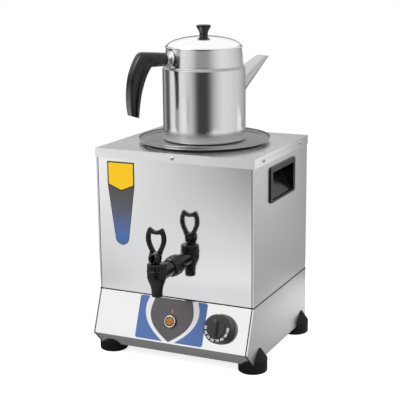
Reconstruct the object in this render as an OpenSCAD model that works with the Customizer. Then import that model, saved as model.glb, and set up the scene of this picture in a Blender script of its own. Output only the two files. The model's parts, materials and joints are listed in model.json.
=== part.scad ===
// Electric tea boiler: a square cabinet round a water tank, with a lever tap, a sloping control
// panel on its base, and a teapot on the plate that closes the tank.
// Millimetres, +Z up. The origin is on the floor, in the middle of the whole part's width and depth.

/* [Cabinet] */
// Width of the top cover
cover_w = 300; // [284:1:316]
// Depth of the top cover
cover_d = 264; // [254:1:284]
// Height of the cover's top face above the floor
cover_top = 376; // [366:1:392]
// Height of the lip folded down round the cover
lip_h = 16; // [14:1:19]
// Thickness of the outer sheets
sheet_t = 1; // [0.8:0.1:1.2]
// Play between the cover's lip and the casing
cover_play = 0.2; // [0.1:0.05:0.4]
// Width of the folded edge that shows beside each front panel
edge_w = 3; // [2:0.5:5]
// Gap between that edge and the front panel
edge_gap = 0.8; // [0.4:0.1:1.2]
// Width of the hidden fixing flanges
flange_w = 16; // [14:1:20]
// Thickness of the deck between the casing and the base
deck_t = 1.6; // [1.2:0.1:2]
// How far the deck's edge lies behind the casing's faces
deck_recess = 1.5; // [1:0.1:2.5]

/* [Base] */
// Height of the joint between the casing and the base
seam_h = 120; // [114:1:124]
// How far the base's faces lie inside the cover's edges
base_inset = 0.5; // [0.3:0.1:1]
// How far the nose of the control panel stands ahead of the panel's top edge
nose_run = 29; // [22:1:34]
// Height of the nose above the floor
nose_h = 46; // [40:1:52]
// How far the lower edge lies behind the nose
toe_in = 29; // [22:1:34]
// Height of the base's lower edge above the floor
base_z0 = 18; // [14:1:22]
// Width of the flange along the base's lower edge
sole_w = 22; // [20:1:26]

/* [Feet] */
// Radius of a foot
foot_r = 25.5; // [22:0.5:26]
// Distance from a foot's axis to the side of the base
foot_in_x = 12; // [10:0.5:14]
// Distance from a foot's axis to the front or back edge of the base
foot_in_y = 25; // [24:0.5:32]
// Height of a foot's straight drum, from the floor
foot_drum_h = 23; // [23:1:26]
// Height of the cone above the drum
foot_cone_h = 30; // [24:1:34]
// Radius of the cone's tip
foot_tip_r = 4.8; // [3:0.2:7]
// Play between a foot and the sheets in its slot
foot_play = 0.15; // [0.1:0.05:0.3]

/* [Side handles] */
// Length of a handle cup's frame, front to back
cup_l = 122; // [110:1:130]
// Height of the frame
cup_h = 63; // [58:1:68]
// Height of the cup's middle above the floor
cup_z = 318; // [312:1:320]
// Width of the frame round the pocket
cup_rim_w = 10; // [8:0.5:12]
// How far the frame stands out of the casing
cup_rim_t = 3; // [2:0.5:4]
// Gap between the pocket's back and the tank
cup_gap = 9.8; // [6:0.2:14]
// Wall of the pocket
cup_wall = 2; // [1.5:0.1:2.5]
// Corner radius of the frame
cup_r = 6; // [4:0.5:8]

/* [Tank and plate] */
// Gap between the tank and the front panel's face
tank_gap = 18.8; // [18:0.2:24]
// Wall of the tank
tank_t = 1; // [0.8:0.1:1.5]
// Height of the tank's bottom above the floor
tank_z0 = 134; // [132:1:138]
// How far the tank's mouth lies inside its wall
mouth_in = 13.5; // [13:0.5:18]
// Width of the rim rolled out round the mouth
mouth_rim_w = 8; // [6:0.5:9]
// Thickness of the mouth gasket
gasket_t = 3; // [2.5:0.25:4]
// How far the plate's rim reaches past the tank's mouth
plate_over = 19; // [16:0.5:22]
// Height of the plate's rim above its floor
plate_rim_h = 5.4; // [4:0.2:8]
// Thickness of the plate
plate_t = 0.8; // [0.8:0.1:1.2]
// Depth of the locating ring under the plate
plate_ring_h = 9; // [6:1:12]
// Height of the heating loop's middle above the tank's bottom
element_up = 16; // [14:1:22]
// Distance of the heating loop's middle from the tank's wall
element_in = 42; // [38:1:50]
// Radius of the heating tube
element_r = 4; // [3.5:0.25:5]

/* [Teapot] */
// Outer radius of the teapot's body
pot_r = 73.7; // [70:0.1:78]
// Outer radius of the neck at its foot
neck_foot_r = 70.3; // [68:0.1:71]
// Outer radius of the neck at its edge
neck_r = 66.8; // [64:0.1:68]
// Height of the shoulder above the pot's bottom
shoulder_h = 127.5; // [120:0.5:132]
// Height of the neck above the shoulder
neck_h = 36; // [34:0.5:42]
// Wall of the teapot
pot_t = 0.8; // [0.7:0.05:1.2]
// Radius of the rounded lower corner
pot_corner_r = 4; // [3:0.5:8]
// Height of the domed lid above the neck's edge
dome_h = 18.6; // [15:0.2:21]
// Height of the lid's knob
lid_knob_h = 19; // [17:0.5:24]
// Radius of the lid's knob at the top
lid_knob_r = 13; // [11:0.5:15]
// Heading of the handle, turned from straight ahead towards the left side
pot_turn = 35; // [0:1:60]
// Distance from the pot's axis to the spout's outer lip
spout_reach = 137; // [128:1:142]
// Height of the spout's tip above the pot's bottom
spout_top = 142; // [134:1:146]
// Distance from the pot's axis to the back of the handle
grip_reach = 153; // [146:1:160]
// Height of the handle's socket above the pot's bottom
grip_h = 145.5; // [144:0.5:147]
// Height of the handle from its lower end to its top
grip_drop = 112.5; // [100:0.5:120]
// Half the width of the handle at its top
grip_r = 12; // [10.5:0.5:13]

/* [Tap] */
// Height of the tap's shank above the floor
tap_z = 179; // [176:1:186]
// Distance from the front panel to the tap's upright axis
tap_reach = 65; // [60:1:72]
// Radius of the tap's barrel
barrel_r = 16.5; // [15.5:0.25:17.5]
// Radius of the water way
way_r = 6; // [5:0.25:6.5]
// Outer radius of the spout
tap_spout_r = 9.4; // [9:0.1:10.5]
// Distance from the shank's axis down to the end of the spout
tap_drop = 36; // [32:1:40]
// Outer radius of the bonnet
bonnet_r = 17.1; // [17:0.1:18.5]
// Height of the bonnet
bonnet_h = 16; // [15:0.5:19]
// Radius of the threaded shank
shank_r = 10.5; // [9.5:0.25:11]
// Radius of the stem
stem_r = 4.4; // [4:0.1:5]
// Radius of the hinge pin
pin_r = 2; // [1.6:0.1:2.2]
// Radial running clearance of stem, pin and shaft
run_play = 0.05; // [0.02:0.01:0.1]
// Height of the finger loop above the lever's foot
loop_h = 44.6; // [40:0.2:50]
// Half the width of the finger loop
loop_half_w = 16.4; // [15:0.2:18]
// Depth of the finger loop, front to back
loop_d = 8; // [6:0.5:9]
// Offset of the cam's middle from the pin: the stem rises by this much per radian
cam_rise = 5; // [4:0.5:6]

/* [Controls] */
// Distance of the thermostat knob from the right side of the base
knob_in = 54.5; // [50:0.5:58]
// Distance of the knob and lamp below the control panel's top edge
control_s = 40.5; // [38:0.5:42]
// Radius of the knob's skirt
knob_r = 27; // [24:0.5:28]
// Height of the knob's skirt
knob_skirt_h = 18; // [15:0.5:20]
// Radius of the knob's raised face
knob_face_r = 16; // [14:0.5:18]
// Radius of the thermostat's shaft
shaft_r = 3; // [2.5:0.25:3.5]
// Radius of the pilot lamp's collar
lamp_r = 11; // [10:0.25:12]
// Radius of the pilot lamp's lens
lens_r = 7.7; // [7:0.1:8.2]
// Width of the control label
label_w = 130; // [120:1:132]
// Gap between the label and the panel's top and lower edges
label_gap = 2.6; // [2:0.2:4]
// Width of the badge
badge_w = 54; // [48:1:58]
// Length of the badge
badge_h = 150; // [130:1:156]
// Distance from the left edge of the cover to the badge's middle
badge_in = 49.5; // [42:0.5:60]
// Thickness of the label and the badge
foil_t = 0.4; // [0.3:0.05:0.6]

/* [Inside] */
// Radius of the cable entry in the gland
entry_r = 4.5; // [4:0.25:5]
// Radius of the wires
wire_r = 1.4; // [1:0.1:1.6]
// Radius of the screws' shanks
screw_r = 1.9; // [1.7:0.1:2]
// Radial clearance of a screw in its hole
screw_play = 0.15; // [0.1:0.05:0.25]

/* [Hidden] */
$fn = 96;

sheet_steel = [0.80, 0.80, 0.81];
bright_steel = [0.88, 0.88, 0.90];
white_steel = [0.93, 0.93, 0.93];
black_plastic = [0.10, 0.10, 0.11];
silicone = [0.75, 0.30, 0.22];
zinc = [0.70, 0.71, 0.72];
brass = [0.78, 0.62, 0.30];

// ---- Plain helpers -----------------------------------------------------------------------------
function unit(v) = v / norm(v);
function reversed(list) = [for (i = [len(list) - 1:-1:0]) list[i]];
function arc(centre, r, a0, a1, n) =
    [for (i = [0:n]) centre + r * [cos(a0 + (a1 - a0) * i / n), sin(a0 + (a1 - a0) * i / n)]];

// A flat outline in (y, z), extruded along X and centred on x = 0
module along_x(w) { rotate([90, 0, 90]) linear_extrude(w, center = true) children(); }
// A flat outline in (x, z), extruded along Y and centred on y = 0
module along_y(d) { rotate([90, 0, 0]) linear_extrude(d, center = true) children(); }
module both_sides() { children(); mirror([1, 0, 0]) children(); }
module box(low, high) { translate(low) cube(high - low); }
module ring(r_out, r_in, h) {
    difference() {
        cylinder(r = r_out, h = h);
        translate([0, 0, -1]) cylinder(r = r_in, h = h + 2);
    }
}
module rounded_square(size, r) {
    union() {
        square([size[0] - 2 * r, size[1]], center = true);
        square([size[0], size[1] - 2 * r], center = true);
        for (x = [-1, 1], y = [-1, 1])
            translate([x * (size[0] / 2 - r), y * (size[1] / 2 - r)]) circle(r);
    }
}
// Hexagon by its size across the flats
module hex(across, h) { cylinder(r = across / sqrt(3), h = h, $fn = 6); }

// A closed skin over rings of points. Each ring has as many points as the next, and they turn
// anticlockwise round the way the rings travel.
module loft(rings) {
    n = len(rings[0]);
    m = len(rings);
    polyhedron(
        points = [for (r = rings) for (p = r) p],
        faces = concat(
            [[for (i = [0:n - 1]) i]],
            [for (j = [0:m - 2]) for (i = [0:n - 1])
                [j * n + i, (j + 1) * n + i, (j + 1) * n + (i + 1) % n, j * n + (i + 1) % n]],
            [[for (i = [n - 1:-1:0]) (m - 1) * n + i]]
        ),
        convexity = 8
    );
}
// Point at parameter t on the smooth curve through the points (Catmull-Rom)
function curve_point(p, t) =
    let (
        last = len(p) - 1,
        i = min(floor(t), last - 1),
        u = t - i,
        a = p[max(i - 1, 0)], b = p[i], c = p[i + 1], d = p[min(i + 2, last)]
    )
    0.5 * (2 * b + (c - a) * u + (2 * a - 5 * b + 4 * c - d) * u * u
        + (3 * b - a - 3 * c + d) * u * u * u);
// A direction square to each step, carried along the steps d without twisting
function carried(d) =
    let (last = len(d) - 1, start = cross(d[0], abs(d[0][2]) > 0.9 ? [1, 0, 0] : [0, 0, 1]))
    [for (k = 0, u = unit(start); k <= last;
        k = k + 1, u = unit(u - (u * d[min(k, last)]) * d[min(k, last)])) u];
// A round wire of radius r through the points q
module sweep(q, r, sides) {
    n = len(q) - 1;
    d = [for (k = [0:n]) unit(q[min(k + 1, n)] - q[max(k - 1, 0)])];
    u = carried(d);
    loft([for (k = [0:n]) [for (i = [0:sides - 1])
        q[k] + r * (cos(360 * i / sides) * u[k] + sin(360 * i / sides) * cross(d[k], u[k]))]]);
}
// The same along a smooth curve through a few points
module tube(p, r, steps = 4, sides = 8) {
    sweep([for (k = [0:(len(p) - 1) * steps]) curve_point(p, k / steps)], r, sides);
}

// ---- Derived places ----------------------------------------------------------------------------
// Overlap that welds two pieces of one solid, and the gap left where one piece is welded on another
weld = 0.5;
weld_gap = 0.05;
casing_w = cover_w - 2 * (sheet_t + cover_play);
casing_d = cover_d - 2 * (sheet_t + cover_play);
side_x = casing_w / 2;
front_y = -casing_d / 2;
casing_z0 = seam_h + deck_t / 2;
casing_z1 = cover_top - sheet_t;
lip_mid_z = cover_top - sheet_t - (lip_h - sheet_t) / 2;
cover_screw_y = cover_d / 2 - 42;
tank_r = casing_d / 2 - tank_gap;
mouth_r = tank_r - mouth_in;
plate_r = mouth_r + plate_over;
element_loop_r = tank_r - element_in;
cup_depth = side_x - tank_r - cup_wall - cup_gap;
head_h = 2.2;
head_r = 1.8 * screw_r;

base_side_x = cover_w / 2 - base_inset;
base_back_y = cover_d / 2 - base_inset;
base_z1 = seam_h - deck_t / 2;
knob_x = base_side_x - knob_in;
panel_top = [-base_back_y, base_z1];
panel_nose = [-base_back_y - nose_run, nose_h];
panel_toe = [panel_nose[0] + toe_in, base_z0];
panel_len = norm(panel_nose - panel_top);
slope_deg = atan(nose_run / (base_z1 - nose_h));
// The control panel's outline in (y, z), moved inwards by d: top edge, nose, lower edge
function panel_line(d) =
    let (
        u = unit(panel_nose - panel_top),
        v = unit(panel_toe - panel_nose),
        m = [-u[1], u[0]],
        n = [-v[1], v[0]]
    )
    [
        [panel_top[0] + d / m[0], panel_top[1]],
        panel_nose + d * (m + n) / (1 + m * n),
        [panel_toe[0] + d / n[0], panel_toe[1]]
    ];
// Point on the control panel: x to the right, s down from its top edge, h straight out of it
function panel_point(x, s, h) = [
    x,
    panel_top[0] - s * sin(slope_deg) - h * cos(slope_deg),
    panel_top[1] - s * cos(slope_deg) + h * sin(slope_deg)
];
// Moves children there; z then points straight out of the panel and y points up it
module on_panel(x, s) { translate(panel_point(x, s, 0)) rotate([90 - slope_deg, 0, 0]) children(); }

foot_x = base_side_x - foot_in_x;
foot_y = base_back_y - foot_in_y;
foot_screw_r = 2.5;
deck_hole_r = tank_r - 28;
thermostat_pitch = 28;
earth_x = -base_side_x + sole_w + 9.5;
earth_y = 60;
foot_sink = 8;
sole_z = base_z0 + sheet_t;

// The handle cups' pockets: outer length, outer heights, and the play round them in the casing
pocket_l = cup_l - 2 * cup_rim_w + 2 * cup_wall;
pocket_z0 = cup_z - cup_h / 2 + 4 - cup_wall;
pocket_z1 = cup_z + cup_h / 2 - 4.5 + cup_wall;
cup_play = 0.3;

tap_y = front_y - tap_reach;
rim_z0 = cover_top + gasket_t;
rim_z1 = rim_z0 + tank_t;
cover_hole_r = mouth_r + tank_t + 1.5;
plate_z = rim_z1 + 0.3;
plate_top = plate_z + plate_t;
seat_gap = 0.3;
pot_z = plate_top + seat_gap;

seat_z = tap_z - 14;
chamber_r = barrel_r - 4.5;
bonnet_z = tap_z + 7;
bonnet_top = bonnet_z + bonnet_h;
bonnet_roof = 4;
thread_r = barrel_r - 3;
cam_r = 9.7;
pin_z = bonnet_top + 0.3 + cam_r;
eye_w = 6;
lever_w = 16;
eye_gap = 0.1;

gland_x = -90;
gland_z = 50;
gland_r = 10;
gland_out = 24;
collar_t = 18;
tap_gasket_t = 1.5;
tap_nut_t = 5.5;

// The part's middle, front to back: the tap's bonnet reaches furthest forward, the gland furthest back
reach_front = -tap_y + bonnet_r;
reach_back = base_back_y + gland_out;
mid_y = (reach_back - reach_front) / 2;
module placed() { translate([0, -mid_y, 0]) children(); }

// ---- Cabinet -----------------------------------------------------------------------------------
// Places a child at each cover screw, z pointing out of the lip
module at_cover_screws() {
    translate([0, -cover_d / 2, lip_mid_z]) rotate([90, 0, 0]) children();
    translate([0, cover_d / 2, lip_mid_z]) rotate([-90, 0, 0]) children();
    for (x = [-1, 1], y = [-1, 1])
        translate([x * cover_w / 2, y * cover_screw_y, lip_mid_z]) rotate([0, x * 90, 0]) children();
}

module top_cover() {
    color(sheet_steel)
    difference() {
        translate([0, 0, cover_top - lip_h]) linear_extrude(lip_h) rounded_square([cover_w, cover_d], 1);
        translate([0, 0, cover_top - lip_h - 1]) linear_extrude(lip_h - sheet_t + 1)
            square([cover_w - 2 * sheet_t, cover_d - 2 * sheet_t], center = true);
        translate([0, 0, cover_top - 10]) cylinder(r = cover_hole_r, h = 20);
        at_cover_screws() translate([0, 0, -4]) cylinder(r = screw_r + screw_play, h = 8, $fn = 32);
    }
}

module cover_screws() {
    color(zinc)
    at_cover_screws() {
        cylinder(r1 = head_r, r2 = 0.8 * head_r, h = head_h, $fn = 32);
        translate([0, 0, -7]) cylinder(r = screw_r, h = 7 + weld, $fn = 32);
    }
}

module front_panel() {
    half = side_x - edge_w - edge_gap;
    color(bright_steel)
    difference() {
        box([-half, front_y, casing_z0], [half, front_y + sheet_t, casing_z1]);
        translate([0, front_y, tap_z]) rotate([90, 0, 0])
            cylinder(r = shank_r + 0.3, h = 10, center = true);
        at_cover_screws() translate([0, 0, -9]) cylinder(r = screw_r + screw_play, h = 12, $fn = 32);
    }
}

module casing_wrap() {
    color(sheet_steel)
    difference() {
        union() {
            casing_sheets();
            both_sides() box([side_x - flange_w, front_y + 2 * sheet_t + 1, casing_z0],
                [side_x - weld, -front_y - weld, casing_z0 + sheet_t]);
            box([-side_x + weld, -front_y - flange_w, casing_z0],
                [side_x - weld, -front_y - weld, casing_z0 + sheet_t]);
        }
        both_sides() box([side_x - 4, -pocket_l / 2 - cup_play, pocket_z0 - cup_play],
            [side_x + 4, pocket_l / 2 + cup_play, pocket_z1 + cup_play]);
        at_cover_screws() translate([0, 0, -9]) cylinder(r = screw_r + screw_play, h = 12, $fn = 32);
    }
}
module casing_sheets() {
    translate([0, 0, casing_z0]) linear_extrude(casing_z1 - casing_z0) union() {
        both_sides() {
            translate([side_x - sheet_t, front_y]) square([sheet_t, casing_d]);
            translate([side_x - edge_w, front_y]) square([edge_w, 2 * sheet_t]);
            translate([side_x - flange_w, front_y + sheet_t]) square([flange_w, sheet_t]);
        }
        translate([-side_x, -front_y - sheet_t]) square([casing_w, sheet_t]);
    }
}

module deck_plate() {
    color(zinc)
    difference() {
        box([-side_x + deck_recess, front_y + deck_recess, base_z1],
            [side_x - deck_recess, -front_y - deck_recess, casing_z0]);
        translate([0, 0, base_z1 - 1]) cylinder(r = deck_hole_r, h = deck_t + 2);
        translate([bulb_x, bulb_y, base_z1 - 1]) cylinder(r = 6, h = deck_t + 2, $fn = 32);
    }
}

// ---- Base --------------------------------------------------------------------------------------
module base_front() {
    half = base_side_x - edge_w - edge_gap;
    color(white_steel)
    difference() {
        along_x(2 * half) union() {
            polygon(concat(panel_line(0), reversed(panel_line(sheet_t))));
            translate([panel_top[0], base_z1 - sheet_t]) square([flange_w, sheet_t]);
            translate([panel_toe[0], base_z0]) square([flange_w, sheet_t]);
        }
        on_panel(0, control_s) cylinder(r = lens_r + 1 + screw_play, h = 8, center = true);
        on_panel(knob_x, control_s) {
            cylinder(r = shaft_r + 2, h = 8, center = true);
            for (x = [-1, 1]) translate([x * thermostat_pitch / 2, 0, 0])
                cylinder(r = screw_r + screw_play, h = 8, center = true, $fn = 32);
        }
    }
}

// Band behind the front panel, between the insets d0 and d1, clear of the panel's own flanges
module panel_band(d0, d1) {
    intersection() {
        polygon(concat(panel_line(d0), reversed(panel_line(d1))));
        translate([panel_nose[0], base_z0 + sheet_t + 0.3])
            square([nose_run + 40, base_z1 - base_z0 - 2 * sheet_t - 0.6]);
    }
}

module base_wrap() {
    flange_y = panel_top[0] + flange_w + 1;
    color(sheet_steel)
    difference() {
        union() {
            both_sides() {
                translate([base_side_x - sheet_t / 2, 0, 0]) along_x(sheet_t)
                    polygon(concat(panel_line(0), [[base_back_y, base_z0], [base_back_y, base_z1]]));
                translate([base_side_x - edge_w / 2, 0, 0]) along_x(edge_w)
                    polygon(concat(panel_line(0), reversed(panel_line(2 * sheet_t))));
                translate([base_side_x - flange_w / 2, 0, 0]) along_x(flange_w)
                    panel_band(sheet_t, 2 * sheet_t);
                box([base_side_x - flange_w, flange_y, base_z1 - sheet_t],
                    [base_side_x, base_back_y, base_z1]);
                box([base_side_x - sole_w, flange_y, base_z0], [base_side_x, base_back_y, sole_z]);
            }
            box([-base_side_x, base_back_y - sheet_t, base_z0], [base_side_x, base_back_y, base_z1]);
            box([-base_side_x, base_back_y - flange_w, base_z1 - sheet_t],
                [base_side_x, base_back_y, base_z1]);
        }
        at_feet() cylinder(r = foot_screw_r + screw_play, h = 2 * base_z0 + 8);
        at_bottom_screws() cylinder(r = screw_r + screw_play, h = 20, center = true, $fn = 32);
        translate([gland_x, base_back_y, gland_z]) rotate([90, 0, 0])
            cylinder(r = gland_r + 0.1, h = 8, center = true);
    }
}

module bottom_plate() {
    slot_w = 3.4;
    slot_l = 40;
    slot_pitch = 10;
    play = 0.5;
    color(zinc)
    difference() {
        box([-base_side_x + sheet_t + play, panel_toe[0] + 3, sole_z],
            [base_side_x - sheet_t - play, base_back_y - sheet_t - play, sole_z + sheet_t]);
        for (i = [-7:7], y = [-slot_l, 0.75 * slot_l])
            translate([slot_pitch * i, y, sole_z]) linear_extrude(10, center = true)
                rounded_square([slot_w, slot_l], slot_w / 2 - 0.1);
        at_feet() cylinder(r = foot_screw_r + screw_play, h = 2 * base_z0 + 8);
        at_bottom_screws() cylinder(r = screw_r + screw_play, h = 20, center = true, $fn = 32);
        translate([earth_x, earth_y, sole_z]) cylinder(r = 2.6, h = 20, center = true);
        at_block_screws() cylinder(r = screw_r + screw_play, h = 20, center = true, $fn = 32);
    }
}

// Bottom screws stand on the soles of the base, between the feet
bottom_screw_y = 30;
bottom_screw_l = 6;
module at_bottom_screws() {
    for (x = [-1, 1], y = [-1, 1])
        translate([x * (base_side_x - sole_w / 2), y * bottom_screw_y, base_z0]) children();
}
module bottom_screws() {
    color(zinc)
    at_bottom_screws() {
        translate([0, 0, -head_h]) cylinder(r1 = 0.8 * head_r, r2 = head_r, h = head_h, $fn = 32);
        translate([0, 0, -weld]) cylinder(r = screw_r, h = bottom_screw_l + weld, $fn = 32);
    }
}

// ---- Feet --------------------------------------------------------------------------------------
module at_feet() {
    for (x = [-1, 1], y = [-1, 1]) translate([x * foot_x, y * foot_y, 0]) children();
}
// A drum with a cone; inside the base it is cut flat, and the base's side stands in its slot
module foot(sx, sy) {
    chamfer = 1.5;
    color(black_plastic)
    difference() {
        translate([sx * foot_x, sy * foot_y, 0]) rotate_extrude() polygon([
            [0, 0], [foot_r - chamfer, 0], [foot_r, chamfer], [foot_r, foot_drum_h],
            [foot_tip_r, foot_drum_h + foot_cone_h], [0, foot_drum_h + foot_cone_h]
        ]);
        inner = base_side_x + foot_play;
        low = base_z0;
        translate([sx > 0 ? inner - 200 : -inner, -250, low]) cube([200, 500, 100]);
        translate([sx * foot_x, sy * foot_y, -1]) {
            cylinder(r = 5.2, h = foot_sink + 1);
            cylinder(r = foot_screw_r + screw_play, h = 60);
        }
    }
}
module foot_front_left() { foot(-1, -1); }
module foot_front_right() { foot(1, -1); }
module foot_rear_left() { foot(-1, 1); }
module foot_rear_right() { foot(1, 1); }

module foot_screws() {
    nut_h = 4;
    color(zinc)
    at_feet() union() {
        translate([0, 0, foot_sink - 3]) cylinder(r = 4.8, h = 3, $fn = 32);
        translate([0, 0, foot_sink - weld])
            cylinder(r = foot_screw_r, h = sole_z + sheet_t + nut_h + 1 - foot_sink + weld);
        translate([0, 0, sole_z + sheet_t]) hex(8, nut_h);
    }
}

// ---- Side handles ------------------------------------------------------------------------------
// One moulded cup in the right side; the pocket's back slopes down to its lower edge
module handle_cup() {
    z0 = pocket_z0 + cup_wall;
    z1 = cup_z + cup_h / 2 - cup_rim_w;
    roof = pocket_z1 - cup_wall;
    back_x = side_x - cup_depth;
    color(black_plastic)
    difference() {
        union() {
            translate([side_x + cup_rim_t / 2, 0, cup_z]) rotate([90, 0, 90])
                linear_extrude(cup_rim_t, center = true) rounded_square([cup_l, cup_h], cup_r);
            along_y(pocket_l) polygon([
                [side_x + weld, z0 - cup_wall], [side_x - 3, z0 - cup_wall],
                [back_x - cup_wall, z1 - 14], [back_x - cup_wall, roof + cup_wall],
                [side_x + weld, roof + cup_wall]
            ]);
        }
        along_y(pocket_l - 2 * cup_wall) polygon([
            [side_x + cup_rim_t + 1, z0], [side_x - 2, z0], [back_x, z1 - 12], [back_x, roof],
            [side_x - 1, roof], [side_x + 1, z1], [side_x + cup_rim_t + 1, z1]
        ]);
    }
}
module handle_cup_right() { handle_cup(); }
module handle_cup_left() { mirror([1, 0, 0]) handle_cup(); }

// ---- Label and badge ---------------------------------------------------------------------------
module badge() {
    top_r = 1.5;
    end_r = 14;
    x0 = -cover_w / 2 + badge_in;
    z1 = cover_top - lip_h - 5;
    end_z = z1 - badge_h + end_r;
    waist_z = z1 - 42;
    color([0.30, 0.29, 0.31])
    translate([x0, front_y - foil_t / 2, 0]) along_y(foil_t) union() {
        polygon(concat(
            [[-badge_w / 2, waist_z], [-badge_w / 2, z1 - top_r], [-badge_w / 2 + top_r, z1],
             [badge_w / 2 - top_r, z1], [badge_w / 2, z1 - top_r], [badge_w / 2, waist_z]],
            arc([0, end_z], end_r, -7, -173, 16)
        ));
    }
}

module control_label() {
    corner_r = 5;
    h = panel_len - 2 * label_gap;
    color([0.29, 0.41, 0.65])
    on_panel(0, panel_len / 2) difference() {
        linear_extrude(foil_t) rounded_square([label_w, h], corner_r);
        translate([0, panel_len / 2 - control_s, -1]) cylinder(r = lamp_r + 0.3, h = 4);
    }
}

// ---- Tank --------------------------------------------------------------------------------------
socket_r = shank_r + 4.5;
socket_y = front_y + sheet_t + tap_nut_t + 1;
module water_tank() {
    shoulder_z = cover_top - 12;
    color(bright_steel)
    difference() {
        union() {
            rotate_extrude() polygon([
                [0, tank_z0], [tank_r - 4, tank_z0], [tank_r, tank_z0 + 4], [tank_r, shoulder_z],
                [mouth_r + tank_t, shoulder_z + 4], [mouth_r + tank_t, rim_z0],
                [mouth_r + mouth_rim_w, rim_z0], [mouth_r + mouth_rim_w, rim_z1], [mouth_r, rim_z1],
                [mouth_r, shoulder_z + 4 - tank_t / 2], [tank_r - tank_t, shoulder_z - tank_t],
                [tank_r - tank_t, tank_z0 + 4 + tank_t / 2], [tank_r - 4 - tank_t / 2, tank_z0 + tank_t],
                [0, tank_z0 + tank_t]
            ]);
            translate([0, -tank_r + 4, tap_z]) rotate([90, 0, 0])
                cylinder(r = socket_r, h = -socket_y - tank_r + 4);
        }
        // Inside stays open where the socket's root would stand in it
        translate([0, 0, tap_z - 30]) cylinder(r = tank_r - tank_t, h = 60);
        translate([0, -tank_r + 10, tap_z]) rotate([90, 0, 0]) cylinder(r = shank_r + run_play, h = 60);
        at_element_legs() cylinder(r = bush_r + 0.1, h = 20, center = true);
    }
}

module mouth_gasket() {
    color(silicone)
    translate([0, 0, cover_top]) ring(mouth_r + mouth_rim_w - 0.5, cover_hole_r + 0.5, gasket_t);
}

// Angle brackets that carry the tank on the deck
module tank_legs() {
    leg_r = deck_hole_r + 12;
    leg_gap = 0.02;
    t = 2;
    color(zinc)
    for (a = [45:90:315]) rotate(a) translate([leg_r, 0, 0]) {
        box([-8, -12, casing_z0], [8, 12, casing_z0 + t]);
        box([-t / 2, -12, casing_z0 + weld], [t / 2, 12, tank_z0 - weld]);
        box([-8, -12, tank_z0 - t], [8, 12, tank_z0 - leg_gap]);
    }
}

// ---- Heating element ---------------------------------------------------------------------------
bush_r = element_r + 2;
bush_l = 9;
leg_l = 16;
leg_tab = 24;
leg_pin_r = 1.5;
leg_pitch = 36;
element_z = tank_z0 + element_up;
leg_y = sqrt(element_loop_r * element_loop_r - leg_pitch * leg_pitch / 4);
module at_element_legs() {
    for (x = [-1, 1]) translate([x * leg_pitch / 2, leg_y, tank_z0]) children();
}
module heating_element() {
    gap_deg = 2 * asin(leg_pitch / 2 / element_loop_r);
    collar_h = 2;
    top_z = element_up + element_r + 0.4;
    color([0.55, 0.55, 0.56])
    union() {
        translate([0, 0, element_z]) rotate(90 + gap_deg / 2) rotate_extrude(angle = 360 - gap_deg)
            translate([element_loop_r, 0]) circle(element_r, $fn = 32);
        at_element_legs() {
            rotate_extrude() polygon([
                [0, -leg_tab], [leg_pin_r, -leg_tab], [leg_pin_r, -leg_l], [element_r, -leg_l],
                [element_r, -bush_l], [bush_r, -bush_l], [bush_r, tank_t], [bush_r + 3, tank_t],
                [bush_r + 3, tank_t + collar_h], [element_r + 0.4, tank_t + collar_h],
                [element_r + 0.4, top_z], [0, top_z]
            ]);
        }
    }
}
module element_nuts() {
    color(brass)
    at_element_legs() {
        translate([0, 0, -1.2]) ring(bush_r + 4, bush_r + 0.1, 1.2);
        translate([0, 0, -5.7]) difference() {
            hex(2 * bush_r + 6, 4.5);
            translate([0, 0, -1]) cylinder(r = bush_r + 0.1, h = 8);
        }
    }
}
module limit_cutout() {
    color([0.85, 0.83, 0.78])
    translate([0, cutout_y, tank_z0 - cutout_h]) union() {
        cylinder(r = cutout_r, h = cutout_h);
        for (x = [-1, 1]) translate([x * cutout_tab, 0, -cutout_tab])
            box([-tab_t / 2, -tab_w / 2, 0], [tab_t / 2, tab_w / 2, cutout_tab + weld]);
    }
}
cutout_y = -20;
cutout_r = 11;
cutout_h = 11;
cutout_tab = 6;
// Push-on tabs: thickness and width
tab_t = 0.8;
tab_w = 6;

// ---- Thermostat --------------------------------------------------------------------------------
body_t = 30;
tab_x = 10;
tab_y = 12;
tab_h = sheet_t + body_t + 8;
module thermostat_body() {
    color([0.83, 0.82, 0.78])
    on_panel(knob_x, control_s) difference() {
        union() {
            box([-19, -22, -sheet_t - body_t], [19, 22, -sheet_t - 3]);
            box([-20, -9, -sheet_t - 4], [20, 9, -sheet_t]);
            for (x = [-1, 1]) translate([x * tab_x, -tab_y, -tab_h])
                box([-tab_t / 2, -tab_w / 2, 0], [tab_t / 2, tab_w / 2, tab_h - sheet_t - body_t + weld]);
        }
        translate([0, 0, -sheet_t - 12]) cylinder(r = shaft_r + run_play, h = 20);
        for (x = [-1, 1]) translate([x * thermostat_pitch / 2, 0, -sheet_t - 8])
            cylinder(r = screw_r + screw_play, h = 20, $fn = 32);
    }
}
module thermostat_screws() {
    color(zinc)
    on_panel(knob_x, control_s) for (x = [-1, 1]) translate([x * thermostat_pitch / 2, 0, 0]) {
        cylinder(r1 = head_r, r2 = 0.8 * head_r, h = 1.6, $fn = 32);
        translate([0, 0, -7]) cylinder(r = screw_r, h = 7 + weld, $fn = 32);
    }
}
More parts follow.
